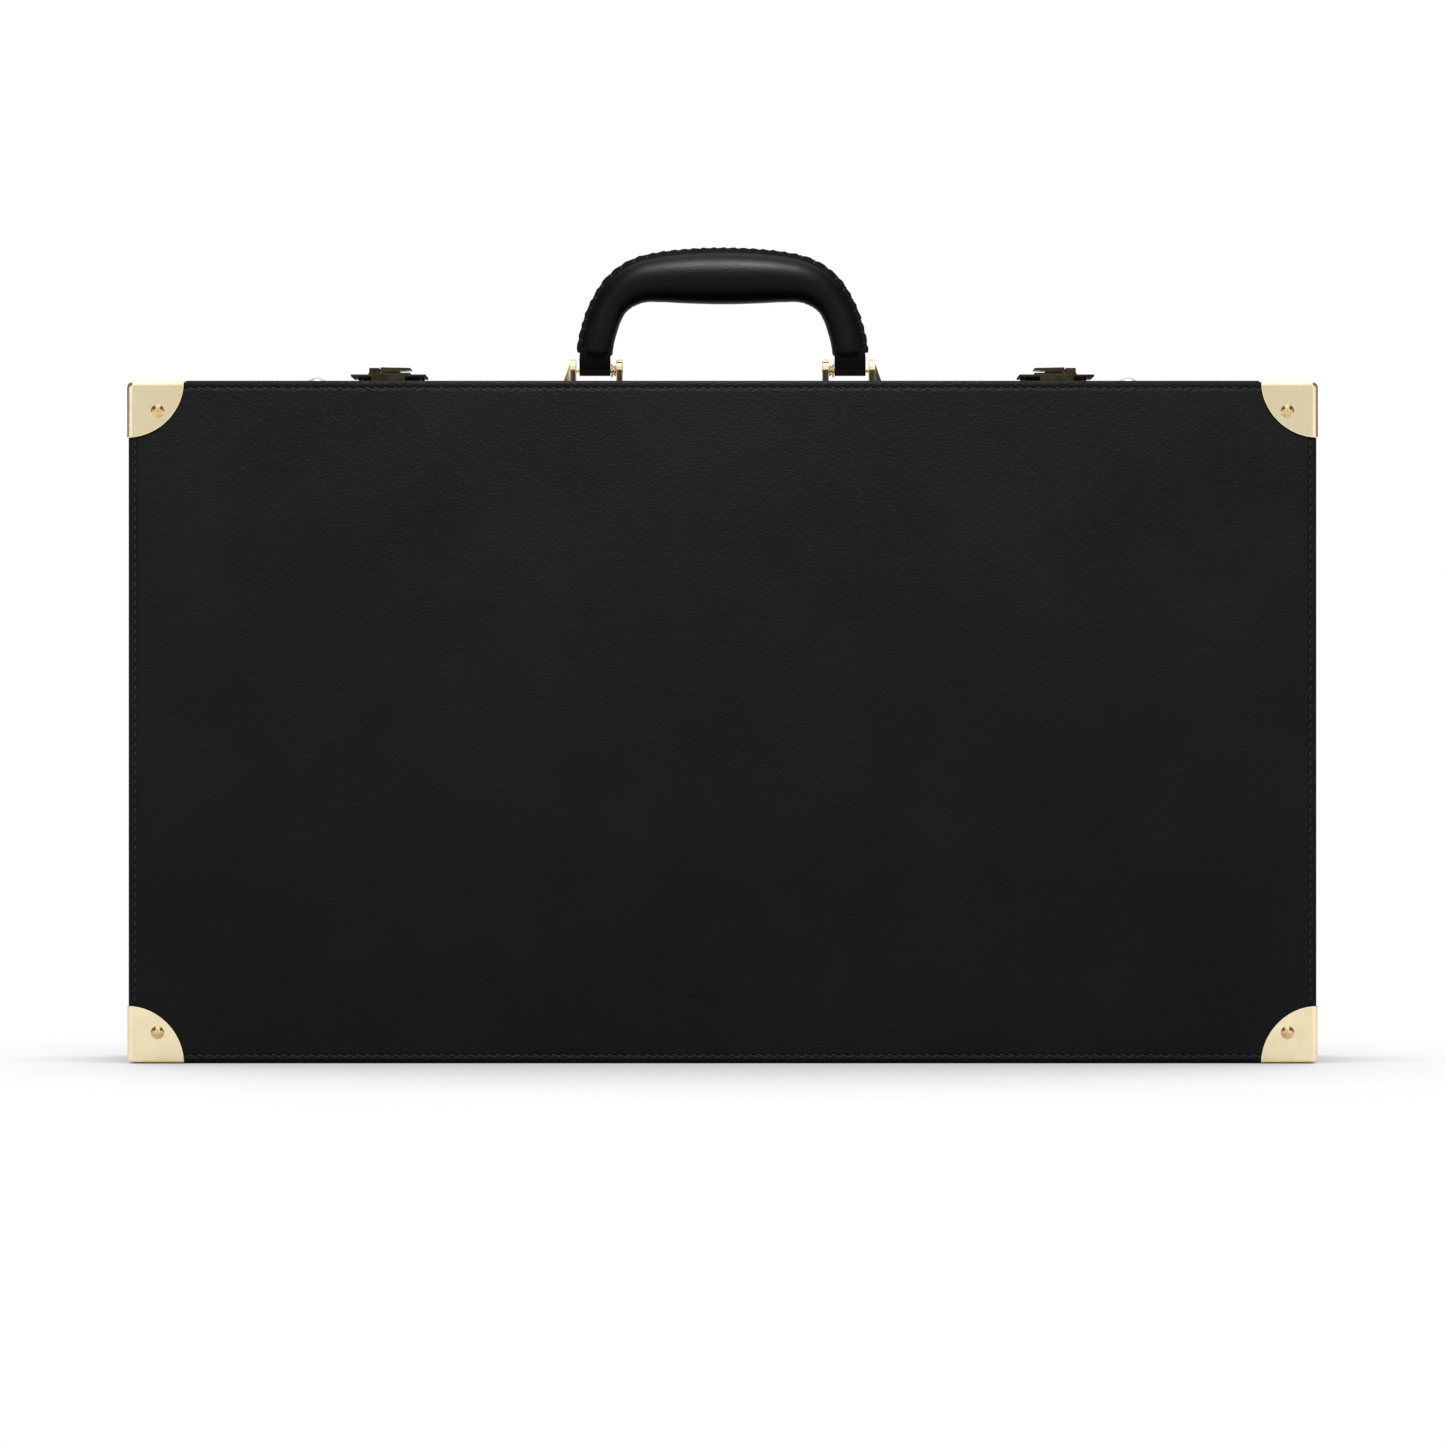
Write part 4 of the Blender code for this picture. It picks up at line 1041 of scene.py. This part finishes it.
for half in wayOf:
    node = "hinge_leaf_" + half
    placed(softened(node, 0.00010), half, zinc, "steel", [node])
turnedPin("hinge_pin", "base", zinc, "steel", 0.0003)
meeting = {"base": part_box("base_top_board")[0].y, "lid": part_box("lid_top_board")[1].y}
for half, depthWay in wayOf.items():
    # heads level with the face that meets the other leaf
    screws = []
    for step in range(hingeScrew["count"]):
        x = (step - (hingeScrew["count"] - 1) / 2) * hingeScrew["pitch"]
        place = (x, meeting[half], hingeScrew["height"])
        screws.append(slottedScrew("screw", place, hingeScrew["radius"], (0, -depthWay, 0)))
    placed(joined(half + "_hinge_screws", screws), half, zinc, "steel", smooth=40)
for word in words:
    for name, body in (
        ("stay_post_base_" + word, "base"), ("stay_post_lid_" + word, "lid"),
        ("stay_lower_" + word, "stay_lower_" + word), ("stay_upper_" + word, "stay_upper_" + word),
    ):
        placed(softened(name, 0.00012), body, zinc, "steel", [name])
print("hinge and stays made")


# wooden carcass, trays and lining

boardEdge = 0.0002
turnedIn = 0.0004  # faces this near to the rim are under the hide that is turned in over it
trayEdge = 0.0006


def boardFaces(piece, half, node):
    # plywood, under hide on the outside and at the rim, and papered with flock on the inside
    piece.data.materials.clear()
    for finish in (plywood, hide, flock):
        piece.data.materials.append(finish)
    low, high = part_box(node)
    rim = low.y if half == "base" else high.y
    if "panel" in node:
        inwards = Vector((0, -wayOf[half], 0))
    elif "end_board" in node:
        inwards = Vector((-sideOf[node.split("_")[-1]], 0, 0))
    else:
        inwards = Vector((0, 0, -1 if "top" in node else 1))
    for face in piece.data.polygons:
        faces = face.normal.dot(inwards)
        atRim = abs(face.center.y - rim) < turnedIn and "panel" not in node
        if faces < -0.5 or atRim:
            face.material_index = 1
        else:
            face.material_index = 2 if faces > 0.5 else 0


panels = {"lid": "lid_front_panel", "base": "base_back_panel"}
for half, panel in panels.items():
    boards = [f"{half}_top_board", f"{half}_bottom_board", panel]
    boards += [f"{half}_end_board_{word}" for word in words]
    for node in boards:
        board = softened(node, boardEdge)
        boardFaces(board, half, node)
        placed(board, half, None, "plywood", [node])
rightTray = softened("chip_tray_right", trayEdge, 3)
leftTray = copied(rightTray, "chip_tray_left_finished", flip=(-1, 1, 1))
placed(rightTray, "base", flock, "black_flock", ["chip_tray_right"])
placed(leftTray, "base", flock, "black_flock", ["chip_tray_left"])
placed(softened("centre_tray", trayEdge, 3), "base", flock, "black_flock", ["centre_tray"])

liningPad = {
    "puff": 0.0022,  # how far the padding stands above its sewn edge
    "edge": (0.0012, 0.0007),
    "border": (0.0080, 0.0002),  # from the pad's edge to the seam
    "seam": (0.0007, 0.0006),
    "cells": 56,
    "pressure": 2.0,
    "slack": 0.012,  # how much larger the cloth is cut than its place
    "frames": 20,
    "fullness": 0.96,  # how much of its room the wadding fills
    "crown": 0.45,  # below 1, the wadding rises quickly at the seam and then lies nearly level
    "drift": 0.002,  # how far the cloth may slip sideways
}


def lidLining():
    # suede cloth over wadding: sewn down along its border, blown up by the wadding in a cloth run
    low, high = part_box("lid_lining")
    seamLevel = high.y - liningPad["puff"]
    piece = addBox("lid_lining_pad", low, (high.x, seamLevel, high.z))
    edit(piece)
    pick(piece, "FACE", lambda face: face.normal.y > facing)
    width, depth = liningPad["seam"]
    steps = (liningPad["edge"], liningPad["border"], (width, -depth), (width, depth))
    for inwards, rise in steps:
        bpy.ops.mesh.inset(thickness=inwards, depth=rise)
    bpy.ops.mesh.subdivide(number_cuts=liningPad["cells"])
    closeEdit()
    border = sum(step[0] for step in steps) + hair
    sewn, free = [], []
    for vert in piece.data.vertices:
        inside = low.x + border < vert.co.x < high.x - border
        inside = inside and low.z + border < vert.co.z < high.z - border
        (free if inside and vert.co.y > seamLevel else sewn).append(vert.index)
    piece.vertex_groups.new(name="sewn").add(sewn, 1.0, "REPLACE")
    start = {index: piece.data.vertices[index].co.copy() for index in free}
    alone(piece)
    cloth = piece.modifiers.new("Wadding", "CLOTH")
    cloth.settings.vertex_group_mass = "sewn"
    cloth.settings.use_pressure = True
    cloth.settings.uniform_pressure_force = liningPad["pressure"]
    cloth.settings.shrink_min = -liningPad["slack"]
    cloth.settings.effector_weights.gravity = 0
    for frameNumber in range(1, liningPad["frames"] + 1):
        bpy.context.scene.frame_set(frameNumber)
    bpy.ops.object.modifier_apply(modifier=cloth.name)
    bpy.context.scene.frame_set(1)
    # the wadding is thin, so the cloth keeps to the room that it has
    room = liningPad["fullness"] * (high.y - start[free[0]].y)
    swells = [piece.data.vertices[index].co.y - start[index].y for index in free]
    most = max(swells)
    for index, swollen in zip(free, swells):
        spot = piece.data.vertices[index].co
        share = min(max(swollen / most, 0), 1)
        spot.y = start[index].y + room * share ** liningPad["crown"]
        for axis in (0, 2):
            drift = spot[axis] - start[index][axis]
            drift = min(max(drift, -liningPad["drift"]), liningPad["drift"])
            spot[axis] = start[index][axis] + drift
    piece.vertex_groups.clear()
    return placed(piece, "lid", suede, "black_flock", ["lid_lining"], smooth=60)


lidLining()
print("carcass, trays and lining made")

# the latch springs are left as the CAD has them
for word in words:
    spring = nodes["latch_spring_" + word]
    spring.data.materials.clear()
    spring.data.materials.append(zinc)
    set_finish(spring, "steel")


# floor, light and camera

studio = {
    "distance": 3.0,  # from the lens to the case's front
    "width": 0.679,  # what the lens takes in at the case's front
    "sensor": 36,
    "lowered": 0.0003,  # the lens below the case's middle
    "floorSize": 12.0,
    "floorColours": ("e9e9e9", "ebebeb"),
    "floorGain": 1.14,  # how bright the open floor is beside the white of the room
    "shadowReach": 3.0,
    "skylight": 1.40,
    # light in the room: elevation, azimuth from the front, inner and outer reach, strength
    "patches": (
        (7, 22, 15, 20, 1.10),
        (7, -22, 15, 20, 1.10),
        (4, 54, 10, 22, 0.80),
        (4, -54, 10, 22, 0.80),
        (42, 0, 16, 34, 1.12),
        (85, 0, 12, 40, 1.30),
        (12, 84, 22, 44, 0.14),
        (12, -84, 22, 44, 0.14),
        (55, 180, 25, 45, 1.20),
    ),
    "fill": 0.05,
    "lampSize": (0.55, 0.35),
    "lampPower": 42.0,
    "lampElevation": 54,
    "lampAway": 1.2,
}


def studioLight():
    # a white room for the eye, even light for matt surfaces and soft patches for gloss
    world = bpy.data.worlds.new("studio")
    bpy.context.scene.world = world
    world.use_nodes = True
    world.cycles.sampling_method = "NONE"
    tree = world.node_tree
    out = next(node for node in tree.nodes if node.type == "OUTPUT_WORLD")
    white = {"Color": (1, 1, 1, 1)}
    backdrop = next(node for node in tree.nodes if node.type == "BACKGROUND")
    backdrop.inputs["Color"].default_value = white["Color"]
    backdrop.inputs["Strength"].default_value = 1.0
    way = addNode(tree, "TexCoord").outputs["Generated"]
    total = None
    for elevation, azimuth, inner, outer, strength in studio["patches"]:
        e, a = radians(elevation), radians(azimuth)
        towards = (sin(a) * cos(e), -cos(a) * cos(e), sin(e))
        near = addNode(tree, "VectorMath", {0: way, 1: towards}, operation="DOT_PRODUCT").outputs["Value"]
        patch = addNode(tree, "MapRange", {
            "Value": near, "From Min": cos(radians(outer)), "From Max": cos(radians(inner)),
            "To Max": strength,
        }, interpolation_type="SMOOTHSTEP").outputs["Result"]
        start = total or studio["fill"]
        total = addNode(tree, "Math", {0: start, 1: patch}, operation="ADD").outputs[0]
    gloss = addNode(tree, "Background", {**white, "Strength": total})
    sky = addNode(tree, "Background", {**white, "Strength": studio["skylight"]})
    ray = addNode(tree, "LightPath")
    matt = addNode(tree, "MixShader", {
        0: ray.outputs["Is Diffuse Ray"], 1: gloss.outputs[0], 2: sky.outputs[0],
    })
    seen = addNode(tree, "MixShader", {
        0: ray.outputs["Is Camera Ray"], 1: matt.outputs[0], 2: backdrop.outputs[0],
    })
    tree.links.new(seen.outputs[0], out.inputs["Surface"])


def leatherLight():
    # a long soft lamp above the lens for the leather only, which the padding catches
    glow = bpy.data.lights.new("leatherLamp", "AREA")
    glow.shape = "RECTANGLE"
    glow.size, glow.size_y = studio["lampSize"]
    glow.energy = studio["lampPower"]
    lamp = bpy.data.objects.new("leatherLamp", glow)
    bpy.context.scene.collection.objects.link(lamp)
    low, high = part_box("handle_grip")
    e = radians(studio["lampElevation"])
    away = Vector((0, -cos(e), sin(e)))
    lamp.location = (low + high) / 2 + away * studio["lampAway"]
    lamp.rotation_euler = away.to_track_quat("Z", "Y").to_euler()
    lit = bpy.data.collections.new("litByLamp")
    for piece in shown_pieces():
        if piece.get("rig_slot") == "black_leather":
            lit.objects.link(piece)
    lamp.light_linking.receiver_collection = lit


def studioFloor():
    # matt pale paper for the light that bounces off it; the eye sees through it only a painted shadow,
    # the white room darkened by ambient occlusion, so that a lid which swings below it stays in sight
    clearSelection()
    bpy.ops.mesh.primitive_plane_add(size=studio["floorSize"], location=(0, 0, -0.0001))
    floor = settle("studioFloor")
    made, tree, shader, place = startMaterial("mattFloorPaper", 0.0, 0.9, 0.0)
    mottle = addNode(tree, "TexNoise", {"Vector": place, "Scale": 3.0}).outputs["Fac"]
    first, second = studio["floorColours"]
    colour = addNode(tree, "Mix", {
        0: mottle, 6: fromHex(first), 7: fromHex(second),
    }, data_type="RGBA").outputs[2]
    tree.links.new(colour, shader.inputs["Base Color"])
    reach = studio["shadowReach"]
    # painted shadow: how much open sky each point of the floor sees darkens the room seen through it
    openSky = addNode(tree, "AmbientOcclusion", {"Distance": reach}, samples=16).outputs["AO"]
    shade = addNode(tree, "MapRange", {"Value": openSky, "From Max": 1 / studio["floorGain"]})
    paintedShadowVeil = addNode(tree, "BsdfTransparent", {"Color": shade.outputs["Result"]})
    ray = addNode(tree, "LightPath").outputs["Is Camera Ray"]
    out = next(node for node in tree.nodes if node.type == "OUTPUT_MATERIAL")
    seen = addNode(tree, "MixShader", {0: ray, 1: shader.outputs[0], 2: paintedShadowVeil.outputs[0]})
    tree.links.new(seen.outputs[0], out.inputs["Surface"])
    floor.data.materials.append(made)


def studioCamera():
    lens = bpy.data.cameras.new("camera")
    lens.sensor_width = studio["sensor"]
    lens.lens = lens.sensor_width * studio["distance"] / studio["width"]
    lens.clip_start = 0.05
    lens.clip_end = 50
    camera = bpy.data.objects.new("camera", lens)
    bpy.context.scene.collection.objects.link(camera)
    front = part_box("lid_cap_top_left")[0].y + cornerCap["rivetRise"]
    camera.location = (0, front - studio["distance"], caseTop / 2 - studio["lowered"])
    camera.rotation_euler = (pi / 2, 0, 0)
    bpy.context.scene.camera = camera


studioLight()
leatherLight()
studioFloor()
studioCamera()
bpy.context.scene.view_settings.view_transform = "Standard"

print("scene ready")
